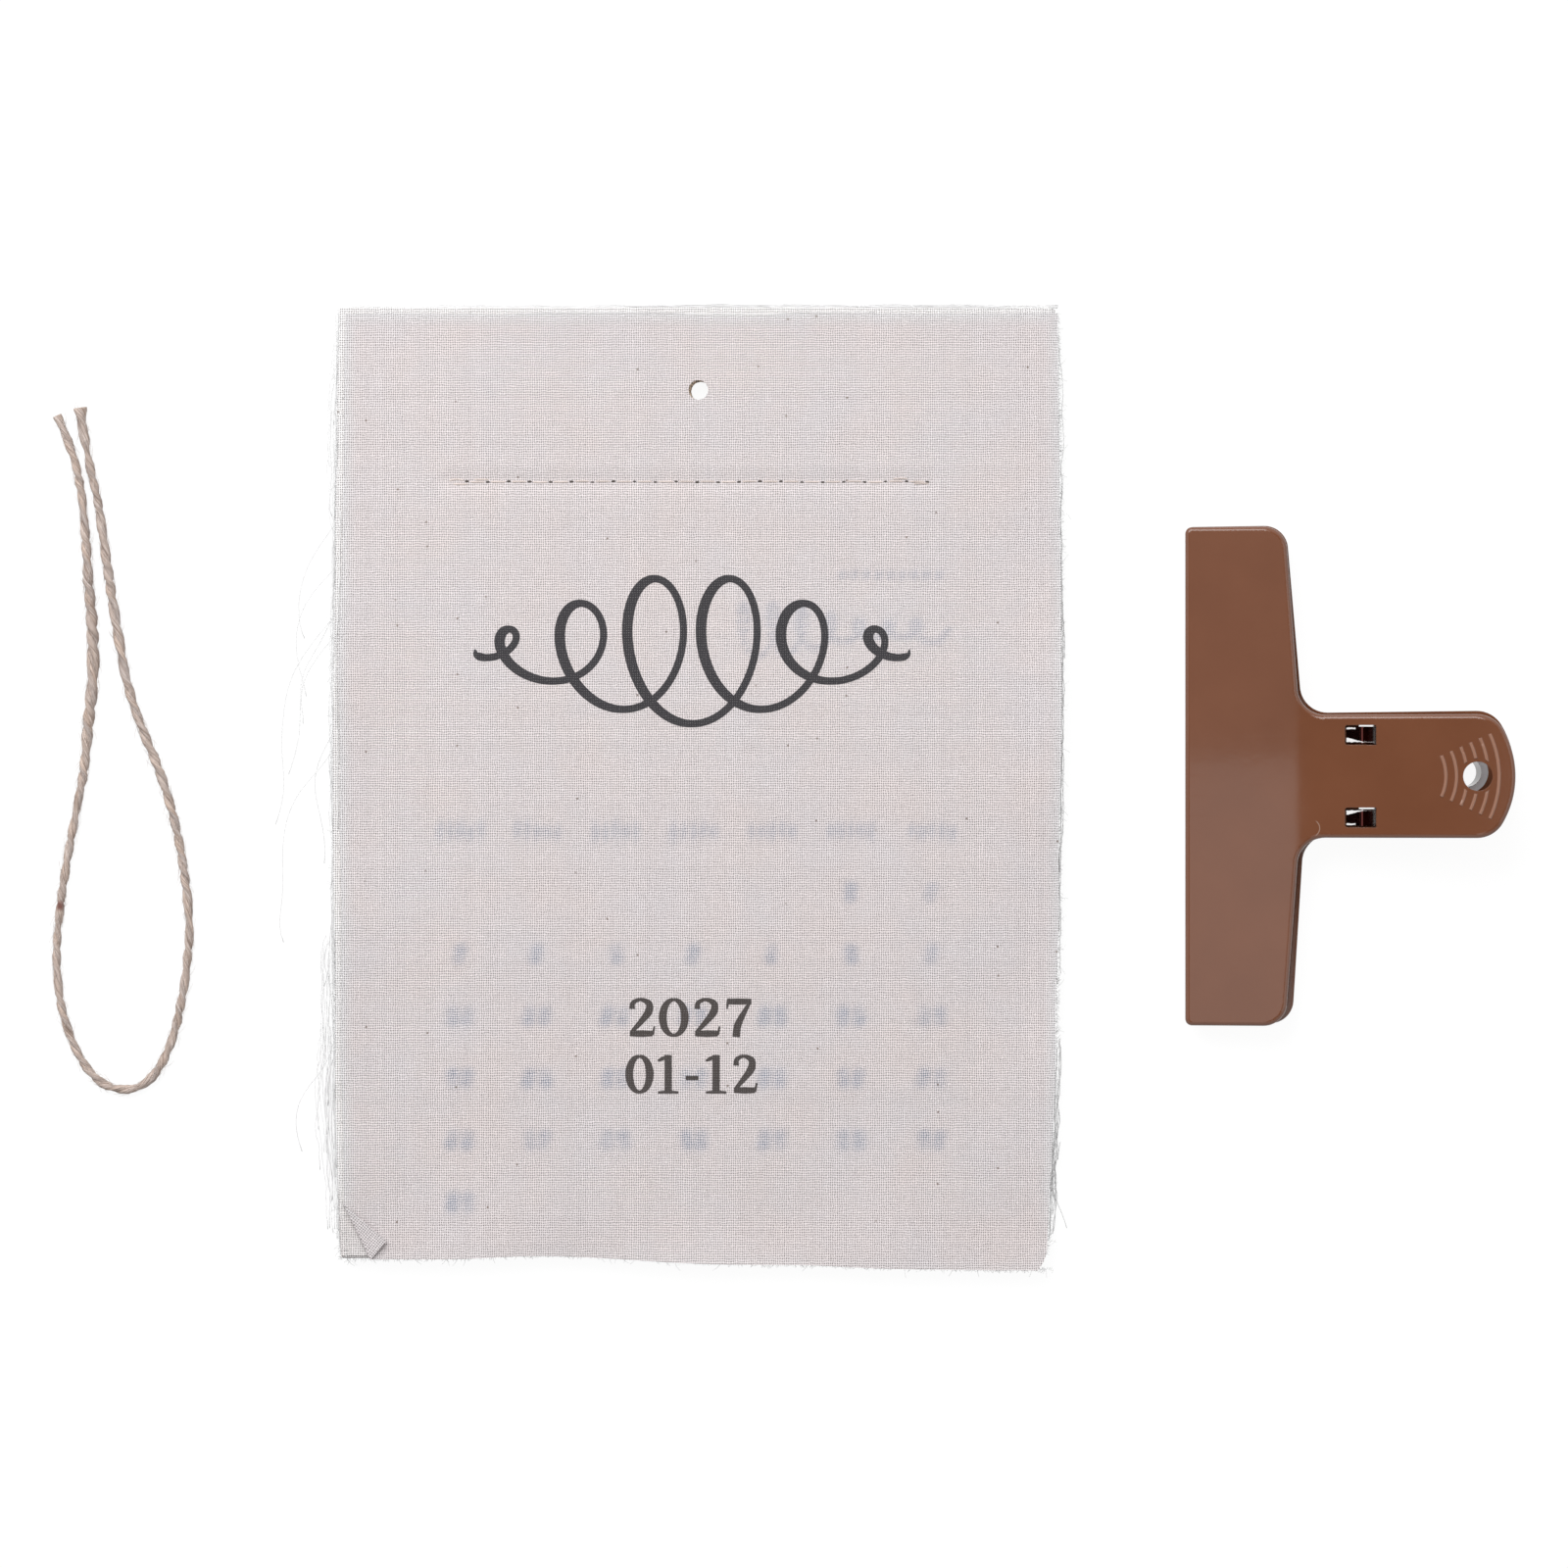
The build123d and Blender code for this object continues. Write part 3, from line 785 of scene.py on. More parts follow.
def addGhost(sheet, points):
    x, y = points[:, 0], points[:, 1]
    mark = np.zeros(len(points))
    draw = random.Random(ghost["seed"])

    def blot(cx, cy, halfX, halfY, depth):
        far = ((x - cx) / halfX) ** 2 + ((y - cy) / halfY) ** 2
        np.maximum(mark, depth * np.exp(-(far**1.5)), out=mark)

    for column, cx in enumerate(ghost["columns"]):
        for letter in range(-2, 3):
            cy = ghost["weekdayY"] + draw.uniform(-0.4, 0.4)
            tall = draw.uniform(*ghost["weekdayTall"])
            blot(cx + letter * ghost["weekdayPitch"], cy, 1.0, tall, ghost["weekdayDepth"])
        for row in range(ghost["rows"]):
            if row == 0 and column not in ghost["firstRowColumns"]:
                continue
            if row == ghost["rows"] - 1 and column not in ghost["lastRowColumns"]:
                continue
            cy = ghost["firstRowY"] - row * ghost["rowPitch"]
            for stroke in (0,) if row < ghost["singleRows"] else (-1, 1):
                sx = cx + ghost["strokeAside"] * stroke
                blot(sx, cy + 0.7, *ghost["strokeHalf"], draw.uniform(*ghost["strokeDepth"]))
                sx += draw.uniform(-0.5, 0.5)
                blot(sx, cy - 0.9, *ghost["strokeHalf"], draw.uniform(*ghost["strokeDepth"]))
    low, high = ghost["titleX"]
    middle, swing = ghost["titleY"]
    depth = ghost["titleDepth"]
    for share in np.arange(ghost["titleSteps"] + 1) / ghost["titleSteps"]:
        turn = 2 * math.pi * ghost["titleTurns"] * share
        tall = swing * (1 + 0.6 * math.sin(5 * share + 1))
        cx = low + (high - low) * share + 2.0 * math.cos(turn)
        blot(cx, middle + tall * math.sin(turn), 0.9, 0.9, depth)
    startX, lineY = ghost["lineStart"]
    for k in range(ghost["lineMarks"]):
        blot(startX + ghost["linePitch"] * k, lineY, 1.0, 1.1, depth)
    addShares(sheet, "ghost", mark * ghost["strength"])


strayDraw = random.Random(pad["seed"] + 1)
for level in range(pad["pages"]):
    moved = dict(pageEdges)
    for side, stray in pad["pageStray"].items():
        moved[side] += strayDraw.uniform(*stray)
    page = makeSheet(f"month_page_{level + 1:02d}", moved, level, pad["pageStep"], pageCloth)
    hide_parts("month_pages")
cover = makeSheet("cover_cloth_sheet", coverEdges, pad["pages"], pad["coverStep"], coverCloth)
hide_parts("cover_sheet")
print("sheets ready")


# twine: two twisted plies on the route's own smooth line

twine = {
    "route": [
        (-134.0, -5.1), (-131.3, -11.0), (-129.1, -19.2), (-128.1, -29.0), (-127.5, -39.2),
        (-126.6, -49.4), (-126.4, -59.6), (-127.5, -69.4), (-128.1, -78.0), (-130.3, -89.2),
        (-132.2, -99.4), (-133.8, -110.6), (-134.2, -119.8), (-133.5, -127.4), (-131.5, -134.4),
        (-128.9, -140.0), (-125.7, -143.9), (-122.0, -145.8), (-118.3, -146.0), (-114.9, -144.3),
        (-112.0, -140.5), (-109.6, -134.6), (-107.9, -127.3), (-106.8, -119.6), (-106.2, -111.6),
        (-107.1, -102.5), (-108.7, -92.7), (-111.3, -82.7), (-115.0, -73.5), (-118.7, -64.1),
        (-120.9, -53.5), (-122.6, -42.9), (-124.0, -33.1), (-125.2, -23.9), (-127.8, -13.2),
        (-129.3, -3.5),
    ],
    "flatMap": "fibreRun",
    "diameter": 2.0,
    "length": 0.299,
    "plyRadius": 0.68,
    "plyAway": 0.32,
    "layLength": 9.6,
    "sway": (0.11, 0.35),
    "thickAt": (0, 20, 38, 50, 66, 80, 100, 140, 200, 240, 262, 285, 299),
    "thickBy": (0.95, 0.92, 1.15, 1.36, 1.24, 0.98, 0.90, 0.94, 0.98, 1.05, 1.10, 0.90, 1.05),
    "lumps": ((0.13, 0.16), (0.6, 0.07)),
    "flare": (0.35, 4.5),
    "firstFlare": 0.8,
    "pinch": (0.38, 9.0, 1.3),
    "endReach": 1,
    "endSpread": 1.2,
    "grooves": ((0.05, 5, 0.5), (0.04, 8, -0.4)),
    "ringStep": 0.30,
    "sides": 14,
    "fibres": 900,
    "fibrePoints": 5,
    "fibreRadius": 0.04,
    "fibreAway": 0.90,
    "fibreLength": (0.8, 2.4),
    "fibreLean": (0.3, 1.0),
    "fibreCurl": (-0.5, 0.5),
    "flatFibres": 0.6,
    "flatGrow": 1.8,
    "flatLean": (-0.04, 0.10),
    "seed": 23,
    "strands": (2.0, 5.0, 0.65),
    "strandStretch": (9.0, 0.9, 1.0),
    "clouds": (1.4, 3.0),
    "cloudStretch": (0.8, 0.16, 1.0),
    "furrowShadeRange": (0.36, 0.55, 0.92, 0.0),
    "paleRange": (0.58, 0.70, 0.0, 0.8),
    "roughRange": (0.3, 0.7, 0.95, 0.7),
    "stainRange": (0.5 * mm, 1.4 * mm, 0.8, 0.0),
    "stainPlace": (-133.4, -107.4, 1.6),
    "lightColour": (0.61, 0.48, 0.405, 1),
    "furrowShadeColour": (0.17, 0.115, 0.09, 1),
    "greyColour": (0.52, 0.45, 0.42, 1),
    "paleColour": (0.88, 0.80, 0.76, 1),
    "stainColour": (0.16, 0.045, 0.035, 1),
}


def juteMaterial(name, loose):
    material, tree, shader = newMaterial(name)
    place = node(tree, "ShaderNodeUVMap", uv_map=twine["flatMap"]).outputs[0]
    strands = noiseAt(tree, stretchPlace(tree, place, twine["strandStretch"]), *twine["strands"])
    clouds = noiseAt(tree, stretchPlace(tree, place, twine["cloudStretch"]), *twine["clouds"])
    colour = mixColour(tree, spread(tree, clouds, 0.38, 0.62), twine["lightColour"], twine["greyColour"])
    # dark in the low streaks that also sink the bump: partly the fibres' own darker streaks, partly painted
    # shade in the furrows between them
    furrowShade = spread(tree, strands, *twine["furrowShadeRange"])
    colour = mixColour(tree, furrowShade, colour, twine["furrowShadeColour"])
    pale = 0.55 if loose else spread(tree, strands, *twine["paleRange"])
    colour = mixColour(tree, pale, colour, twine["paleColour"])
    if not loose:
        here = node(tree, "ShaderNodeNewGeometry").outputs["Position"]
        far = vectorCalc(tree, "DISTANCE", here, tuple(value * mm for value in twine["stainPlace"]))
        colour = mixColour(tree, spread(tree, far, *twine["stainRange"]), colour, twine["stainColour"])
    setInputs(tree, shader, {
        "Base Color": colour,
        "Roughness": spread(tree, strands, *twine["roughRange"]),
        "Specular IOR Level": 0.25,
    })
    addBump(tree, shader, strands, 0.8, 0.12)
    return material


def routeLine():
    data = bpy.data.curves.new("twineRoute", "CURVE")
    data.dimensions = "3D"
    spline = data.splines.new("NURBS")
    spline.points.add(len(twine["route"]) - 1)
    for point, (x, y) in zip(spline.points, twine["route"]):
        point.co = (x * mm, y * mm, twine["diameter"] / 2 * mm, 1)
    spline.order_u = 3
    spline.use_endpoint_u = True
    spline.resolution_u = 12
    holder = bpy.data.objects.new("twineRoute", data)
    scene.collection.objects.link(holder)
    bpy.context.view_layer.update()
    line = bpy.data.meshes.new_from_object(holder)
    points = np.array([v.co[:] for v in line.vertices])
    bpy.data.objects.remove(holder)
    bpy.data.meshes.remove(line)
    return points


def evenly(points, step):
    runs = np.linalg.norm(np.diff(points, axis=0), axis=1)
    far = np.concatenate([[0], np.cumsum(runs)])
    wanted = np.linspace(0, far[-1], round(far[-1] / step) + 1)
    return np.stack([np.interp(wanted, far, points[:, k]) for k in range(3)], axis=1), wanted


def plyRadius(s, toEnd, ply):
    # lumpy along its length, pinched near its far end and flared at it
    size = np.interp(s, twine["thickAt"], twine["thickBy"])
    (slowScale, slowSize), (fastScale, fastSize) = twine["lumps"]
    slow = slowSize * roughAt(s * slowScale, 3.1 + ply, 0.2)
    size *= 1 + slow + fastSize * roughAt(s * fastScale, 8.0, ply)
    flareSize, flareReach = twine["flare"]
    flare = 1 + flareSize * math.exp(-((toEnd / flareReach) ** 2)) * (1 if ply else twine["firstFlare"])
    pinchSize, pinchAt, pinchReach = twine["pinch"]
    pinch = 1 - pinchSize * math.exp(-(((toEnd - pinchAt) / pinchReach) ** 2))
    return twine["plyRadius"] * size * flare * pinch


def makeTwine():
    route = routeLine()
    path, far = evenly(route, twine["ringStep"] * mm)
    side, lift = lineFrame(path)
    sides = twine["sides"]
    swayScale, swaySize = twine["sway"]
    strands = Bundle()
    runs = []
    for ply in (0, 1):
        start = len(strands.vertices)
        for point, across, over, distance in zip(path, side, lift, far):
            s = distance / mm
            toEnd = far[-1] / mm - s
            sway = swaySize * roughAt(s * swayScale, 0.3, 0.7)
            turn = -2 * math.pi * (s / twine["layLength"] + sway) + math.pi * ply
            radius = plyRadius(s, toEnd, ply)
            away = twine["plyAway"] * radius / twine["plyRadius"]
            away *= 1 if min(s, toEnd) > twine["endReach"] else twine["endSpread"]
            centre = point + mm * away * (across * math.cos(turn) + over * math.sin(turn))
            for k in range(sides):
                around = 2 * math.pi * k / sides
                groove = 1
                for order, (size, count, lead) in enumerate(twine["grooves"]):
                    groove += size * math.sin(count * around + lead * s + order * ply)
                out = across * math.cos(around + turn) + over * math.sin(around + turn)
                spot = centre + mm * radius * groove * out
                spot[2] = max(spot[2], 0.03 * mm)
                strands.vertices.append(spot)
                runs.append((k / sides, (s + 40 * ply) / 10))
        strands.close(start, len(far), sides)
    plies = strands.piece("twine_plies", juteMaterial("juteTwine", False))
    addFlatMap(plies, twine["flatMap"], runs)
    return plies, path, side, lift, route


def makeFuzz(path, side, lift):
    draw = random.Random(twine["seed"])
    fuzz = Bundle()
    shares = np.linspace(0, 1, twine["fibrePoints"])
    radii = twine["fibreRadius"] * mm * (1 - 0.6 * shares)
    for _ in range(twine["fibres"]):
        ring = draw.randrange(4, len(path) - 4)
        turn = draw.uniform(-0.4, math.pi + 0.4)
        outward = side[ring] * math.cos(turn) + lift[ring] * math.sin(turn)
        along = (path[ring + 3] - path[ring - 3]) * draw.choice((-1, 1))
        along /= np.linalg.norm(along)
        length = draw.uniform(*twine["fibreLength"]) * mm
        lean = draw.uniform(*twine["fibreLean"])
        curl = draw.uniform(*twine["fibreCurl"])
        if draw.random() < twine["flatFibres"]:
            # most fibres lie along the strand
            length *= twine["flatGrow"]
            lean = draw.uniform(*twine["flatLean"])
        thick = np.interp(ring * twine["ringStep"], twine["thickAt"], twine["thickBy"])
        root = path[ring] + outward * twine["fibreAway"] * thick * mm
        points = []
        for share in shares:
            point = root + length * (along * share + outward * lean * share * (1 - 0.45 * share))
            point = point + np.cross(along, outward) * curl * length * share**2
            point[2] = max(point[2], 0.08 * mm)
            points.append(point)
        fuzz.tube(points, radii, 3)
    piece = fuzz.piece("twine_fibres", juteMaterial("juteFibre", True))
    addFlatMap(piece, twine["flatMap"], [(k % 3 / 3, k * 0.013) for k in range(len(fuzz.vertices))])
    return piece


twinePlies, twinePath, twineSide, twineLift, twineRoute = makeTwine()
twineFuzz = makeFuzz(twinePath, twineSide, twineLift)
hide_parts("hanging_twine")
print("twine ready")


# seam: single stitches between needle holes, gone over twice at both ends

seam = {
    "start": -52.54,
    "pitch": 4.36,
    "count": 23,
    "threadRadius": 0.17,
    "layTurns": 5,
    "plyAway": 0.5,
    "plyShare": 0.62,
    "up": (0, 1, 0),
    "sides": 8,
    "linePoints": 21,
    "rise": 0.06,
    "dive": 0.62,
    "diveDepth": 0.42,
    "underside": (0.22, 0.30),
    "firstSlack": 0.5,
    "slack": (-0.12, 0.12),
    "backSlack": (-0.2, 0.2),
    "backAside": (0.35, 0.6),
    "backTacks": 2,
    "backShift": 0.9,
    "needleHalf": (0.42, 0.21),
    "needleRings": ((1.0, -0.15), (1.0, 0.02), (0.6, 0.035)),
    "needleSides": 14,
    "needleGrow": (0.85, 1.2),
    "needleStray": (-0.1, 0.1),
    "seed": 3,
    "twist": (5200.0, 3.0),
    "threadColour": (0.74, 0.655, 0.615, 1),
    "threadShade": (0.62, 0.535, 0.49, 1),
    "needleShadeColour": (0.10, 0.08, 0.07, 1),
    "needleShade": (0.042, 0.034, 0.03, 1),
}


def threadMaterial(name, light, shade):
    material, tree, shader = newMaterial(name)
    place = node(tree, "ShaderNodeTexCoord").outputs["Object"]
    twist = noiseAt(tree, place, *seam["twist"])
    setInputs(tree, shader, {
        "Base Color": mixColour(tree, spread(tree, twist, 0.35, 0.65), shade, light),
        "Roughness": spread(tree, twist, 0.3, 0.7, 0.9, 0.65),
    })
    addBump(tree, shader, twist, 0.6, 0.05)
    return material


def twistedThread(bundle, path):
    # two fine plies wound round one line
    path = np.asarray(path)
    side, lift = lineFrame(path, seam["up"])
    radius = seam["threadRadius"] * mm
    share = np.linspace(0, 1, len(path))
    for ply in (0, 1):
        turn = 2 * math.pi * seam["layTurns"] * share + math.pi * ply
        out = side * np.cos(turn)[:, None] + lift * np.sin(turn)[:, None]
        wound = path + radius * seam["plyAway"] * out
        bundle.tube(wound, [radius * seam["plyShare"]] * len(path), seam["sides"], seam["up"])


def stitchLine(x0, x1, y, topSide, slack):
    count = seam["linePoints"]
    flat, sunk = seam["underside"]
    points = []
    for k in range(count):
        share = k / (count - 1)
        x = x0 + (x1 - x0) * share
        ends = min(share, 1 - share) * abs(x1 - x0)
        dive = math.exp(-((ends / seam["dive"]) ** 2))
        yHere = y + slack * math.sin(math.pi * share)
        if topSide:
            z = sheetTop(x, y, pad["pages"]) + seam["rise"] * (1 - dive) - seam["diveDepth"] * dive
        else:
            z = flat + sunk * dive
        points.append((x * mm, yHere * mm, z * mm))
    return points


def needleMark(bundle, x, y, grow):
    # a flat dark oval where the needle went through the cover: painted shade standing in for the hole
    start = len(bundle.vertices)
    count = seam["needleSides"]
    halfX, halfY = seam["needleHalf"]
    for share, depth in seam["needleRings"]:
        for k in range(count):
            turn = 2 * math.pi * k / count
            px = x + halfX * grow * share * math.cos(turn)
            py = y + halfY * grow * share * math.sin(turn)
            z = sheetTop(px, py, pad["pages"]) + depth
            bundle.vertices.append(np.array((px, py, z)) * mm)
    bundle.close(start, len(seam["needleRings"]), count)


def makeSeam():
    draw = random.Random(seam["seed"])
    stitches = Bundle()
    needleMarks = Bundle()
    y = pad["seamY"]
    xs = [seam["start"] + i * seam["pitch"] for i in range(seam["count"] + 1)]
    for x0, x1 in zip(xs, xs[1:]):
        for topSide in (True, False):
            slack = seam["firstSlack"] if x0 == xs[0] else draw.uniform(*seam["slack"])
            twistedThread(stitches, stitchLine(x0, x1, y, topSide, slack))
    last = len(xs) - 1
    for first, step in ((0, 1), (last, -1)):
        for k in range(seam["backTacks"]):
            ends = [xs[first + step * n] + seam["backShift"] for n in (k, k + 1)]
            aside = y + draw.uniform(*seam["backAside"]) * (1 if k % 2 else -1)
            slack = draw.uniform(*seam["backSlack"])
            twistedThread(stitches, stitchLine(min(ends), max(ends), aside, True, slack))
    for x in xs[1:]:
        grow = draw.uniform(*seam["needleGrow"])
        needleMark(needleMarks, x, y + draw.uniform(*seam["needleStray"]), grow)
    threadLook = threadMaterial("seamThread", seam["threadColour"], seam["threadShade"])
    needleLook = threadMaterial("needleHoleShade", seam["needleShadeColour"], seam["needleShade"])
    thread = stitches.piece("seam_stitches", threadLook)
    marks = needleMarks.piece("needle_hole_shade", needleLook)
    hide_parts("binding_thread")
    return thread, marks


seamThread, needleHoles = makeSeam()
print("seam ready")


# print on the cover: a looping pen flourish and plain numbers, as thin ink on the cloth

ink = {
    "lift": 0.035,
    "thick": 0.05,
    "climb": 0.03,
    "roundEnd": 0.01,
    "flourishPoints": 900,
    "flourishX": (-46.5, 44.0),
    "flourishY": -54.0,
    "loops": 6,
    "loopReach": 9.5,
    "loopTall": (6.0, 9.5),
    "thin": 0.75,
    "bold": 1.1,
    "numberPoints": 40,
    "numberHeight": 8.1,
    "year": ("2027", -14.9, -134.7, 1.19, 0.85),
    "months": ("01-12", -14.9, -146.5, 1.10, 0.62),
}


class InkLayer:
    # collects flat strokes that follow the cover's face
    def __init__(self):
        self.vertices = []
        self.faces = []
        self.flat = []

    def point(self, x, y, raised, climb):
        z = sheetTop(x, y, pad["pages"]) + (ink["lift"] + climb if raised else -ink["thick"])
        self.vertices.append((x * mm, y * mm, z * mm))
        self.flat.append((x * mm, y * mm))

    def stroke(self, points, halves):
        points = np.asarray(points, float)
        tangent = np.gradient(points, axis=0)
        tangent /= np.maximum(np.linalg.norm(tangent, axis=1), 1e-9)[:, None]
        normal = np.stack([-tangent[:, 1], tangent[:, 0]], axis=1)
        start = len(self.vertices)
        # a later part of a stroke crosses over an earlier one
        climbs = np.linspace(0, ink["climb"], len(points))
        for point, across, half, climb in zip(points, normal, halves, climbs):
            for side in (1, -1):
                x, y = point + across * half * side
                self.point(x, y, True, climb)
                self.point(x, y, False, climb)
        for k in range(len(points) - 1):
            a = start + 4 * k
            b = a + 4
            self.faces.append((a, a + 2, b + 2, b))
            self.faces.append((a + 1, b + 1, b + 3, a + 3))
            self.faces.append((a, b, b + 1, a + 1))
            self.faces.append((a + 2, a + 3, b + 3, b + 2))
        end = start + 4 * (len(points) - 1)
        self.faces.append((start, start + 1, start + 3, start + 2))
        self.faces.append((end, end + 2, end + 3, end + 1))

    def piece(self, name, material):
        piece = addPiece(name, self.vertices, self.faces, material)
        piece.data.shade_flat()
        addFlatMap(piece, weave["flatMap"], self.flat)
        return piece


def roundedEnds(share):
    ends = np.minimum(share, 1 - share) / ink["roundEnd"]
    return np.sqrt(np.clip(1 - (1 - np.clip(ends, 0, 1)) ** 2, 0.02, 1))


def makeFlourish():
    layer = InkLayer()
    share = np.linspace(0, 1, ink["flourishPoints"])
    low, high = ink["flourishX"]
    turn = 2 * math.pi * (ink["loops"] * share - 0.25)
    swell = np.sin(math.pi * share)
    base, more = ink["loopTall"]
    x = low + (high - low) * share + ink["loopReach"] * np.cos(turn) * swell**0.5
    y = ink["flourishY"] + (base + more * swell**2) * np.sin(turn) * swell**0.35
    run = np.maximum(np.hypot(np.gradient(x), np.gradient(y)), 1e-9)
    down = np.clip(-np.gradient(y) / run, 0, 1)
    half = (ink["thin"] + (ink["bold"] - ink["thin"]) * down) * roundedEnds(share)
    layer.stroke(np.stack([x, y], axis=1), half)
    return layer.piece("cover_flourish", scriptInk)


def curvePoints(points):
    # a smooth line through a few points
    points = [points[0]] + list(points) + [points[-1]]
    out = []
    count = ink["numberPoints"]
    spans = len(points) - 3
    for k in range(count):
        t = k / (count - 1) * spans
        i = min(int(t), spans - 1)
        f = t - i
        a, b, c, d = (np.array(points[i + n], float) for n in range(4))
        square = 2 * a - 5 * b + 4 * c - d
        cube = 3 * b - a - 3 * c + d
        out.append(0.5 * (2 * b + (c - a) * f + square * f**2 + cube * f**3))
    return np.array(out)


# each number's strokes, as points and half widths in shares of its height
roundTurns = np.linspace(0, 2 * math.pi, 25)
numberStrokes = {
    "0": [([(0.06 + 0.24 * (1 + math.sin(a)), 0.5 + 0.46 * math.cos(a)) for a in roundTurns],
           [0.035 + 0.065 * abs(math.sin(a)) for a in roundTurns])],
    "1": [([(0.30, 0.99), (0.30, 0.5), (0.30, 0.0)], [0.095, 0.095, 0.095]),
          ([(0.06, 0.84), (0.17, 0.90), (0.31, 0.97)], [0.025, 0.05, 0.03]),
          ([(0.06, 0.03), (0.30, 0.04), (0.54, 0.03)], [0.03, 0.04, 0.03])],
    "2": [([(0.12, 0.72), (0.14, 0.88), (0.30, 0.96), (0.48, 0.86), (0.47, 0.64), (0.30, 0.38), (0.10, 0.12)],
           [0.075, 0.06, 0.04, 0.085, 0.10, 0.07, 0.04]),
          ([(0.07, 0.085), (0.32, 0.085), (0.56, 0.085)], [0.07, 0.085, 0.07]),
          ([(0.56, 0.05), (0.58, 0.16), (0.60, 0.27)], [0.035, 0.03, 0.02])],
    "7": [([(0.05, 0.91), (0.30, 0.91), (0.57, 0.91)], [0.075, 0.08, 0.07]),
          ([(0.07, 0.96), (0.055, 0.84), (0.045, 0.72)], [0.035, 0.03, 0.02]),
          ([(0.55, 0.92), (0.38, 0.56), (0.27, 0.28), (0.24, 0.0)], [0.03, 0.075, 0.095, 0.095])],
    "-": [([(0.06, 0.40), (0.21, 0.40), (0.36, 0.40)], [0.055, 0.055, 0.055])],
}
numberWidths = {"0": 0.60, "1": 0.58, "2": 0.63, "7": 0.60, "-": 0.40}


def makeNumbers():
    layer = InkLayer()
    height = ink["numberHeight"]
    for text, x, y, widen, gap in (ink["year"], ink["months"]):
        for sign in text:
            for points, halves in numberStrokes[sign]:
                line = curvePoints(points)
                spots = np.linspace(0, 1, len(halves))
                half = np.interp(np.linspace(0, 1, len(line)), spots, halves)
                layer.stroke(np.array([x, y]) + line * height * np.array([widen, 1]), half * height)
            x += numberWidths[sign] * height * widen + gap
    return layer.piece("cover_numbers", numberInk)


flourish = makeFlourish()
numbers = makeNumbers()
print("print ready")


# frayed edges: short fuzz on every cut, threads freed along two sides, and loose fringe

fray = {
    "seed": 41,
    "outward": {"left": (-1, 0), "right": (1, 0), "top": (0, 1), "foot": (0, -1)},
    "fuzzPerSheet": 620,
    "fuzzSides": {"left": 1.6, "right": 0.8, "top": 1.0, "foot": 0.5},
    "fuzzLength": (0.2, 1.0),
    "fuzzRadius": 0.045,
    "fuzzThin": (1.0, 1.0, 0.8, 0.5),
    "fuzzInset": 0.3,
    "longFuzz": (0.06, 2.2),
    "fuzzSwing": (-0.9, 0.9),
    "underTop": 0.12,
    "runSides": ("left", "top"),
    "runLength": (40, 140),
    "runAway": (0.0, 0.8),
    "runStep": 2.2,
    "phase": (0, 90),
    "fringe": [
        ("left", 14, -178, 12, 1.4),
        ("left", 20, -179, -112, 4.6),
        ("left", 6, -30, 14, 2.2),
        ("right", 11, -177, -134, 1.8),
        ("right", 6, -140, 10, 0.6),
    ],
    "fringeLength": (0.35, 0.95, 90),
    "fringeHeight": (0.3, 3.6),
    "fringeStep": 1.5,
    "fringeThick": (0.8, 1.4),
    "fringeFlat": 0.5,
    "leftThreads": 9,
    "leftSpans": ((-95, -140), (0, -90)),
    "leftLengths": ((14, 38), (10, 34)),
    "leftDrift": (-0.22, (1.0, 3.5)),
    "rightThreads": 4,
    "rightSpans": ((-138, -165), (0, -140)),
    "rightLength": (6, 16),
    "rightDrift": (0.12, (0.5, 1.4)),
    "threadInset": 0.4,
    "wisps": 7,
    "wispSpan": (-22, -75),
    "wispLength": (26, 48),
    "wispDrift": (-0.75, (8, 20)),
    "wispInset": 0.3,
    "wispHeight": 0.4,
    "threadRadius": 0.062,
    "wispRadius": 0.06,
    "threadHeight": (0.4, 3.4),
    "lightColour": (0.92, 0.918, 0.92, 1),
    "shadeColour": (0.80, 0.797, 0.80, 1),
}


def edgeEnds(side, edges):
    upright = side in ("left", "right")
    return (edges["foot"], edges["top"]) if upright else (edges["left"], edges["right"])


def besideEdge(side, t, edges, seed, away=0.0):
    # a point on a cut edge, or some way out from it
    ox, oy = fray["outward"][side]
    line = edgeAt(side, t, edges, seed) + (ox + oy) * away
    return (line, t) if ox else (t, line)


def makeFuzzEdges(material):
    draw = random.Random(fray["seed"])
    fuzz = Bundle()
    inset = fray["fuzzInset"]
    longShare, longGrow = fray["longFuzz"]
    radii = [fray["fuzzRadius"] * mm * thin for thin in fray["fuzzThin"]]
    for level in range(pad["pages"] + 1):
        edges = sheetEdges(level)
        for _ in range(fray["fuzzPerSheet"]):
            side = draw.choices(list(fray["fuzzSides"]), list(fray["fuzzSides"].values()))[0]
            low, high = edgeEnds(side, edges)
            x, y = besideEdge(side, draw.uniform(low + 1, high - 1), edges, sheetSeed(level))
            ox, oy = fray["outward"][side]
            length = draw.uniform(*fray["fuzzLength"])
            if draw.random() < longShare:
                length *= longGrow
            swing = draw.uniform(*fray["fuzzSwing"])
            z = sheetTop(x, y, level) - fray["underTop"]
            points = []
            for share in np.linspace(0, 1, len(radii)):
                px = x - inset * ox + length * share * (ox - oy * swing * share)
                py = y - inset * oy + length * share * (oy + ox * swing * share)
                points.append((px * mm, py * mm, max(0.06, z - 0.25 * length * share**2) * mm))
            fuzz.tube(points, radii, 3)
    return fuzz.piece("edge_fuzz", material)


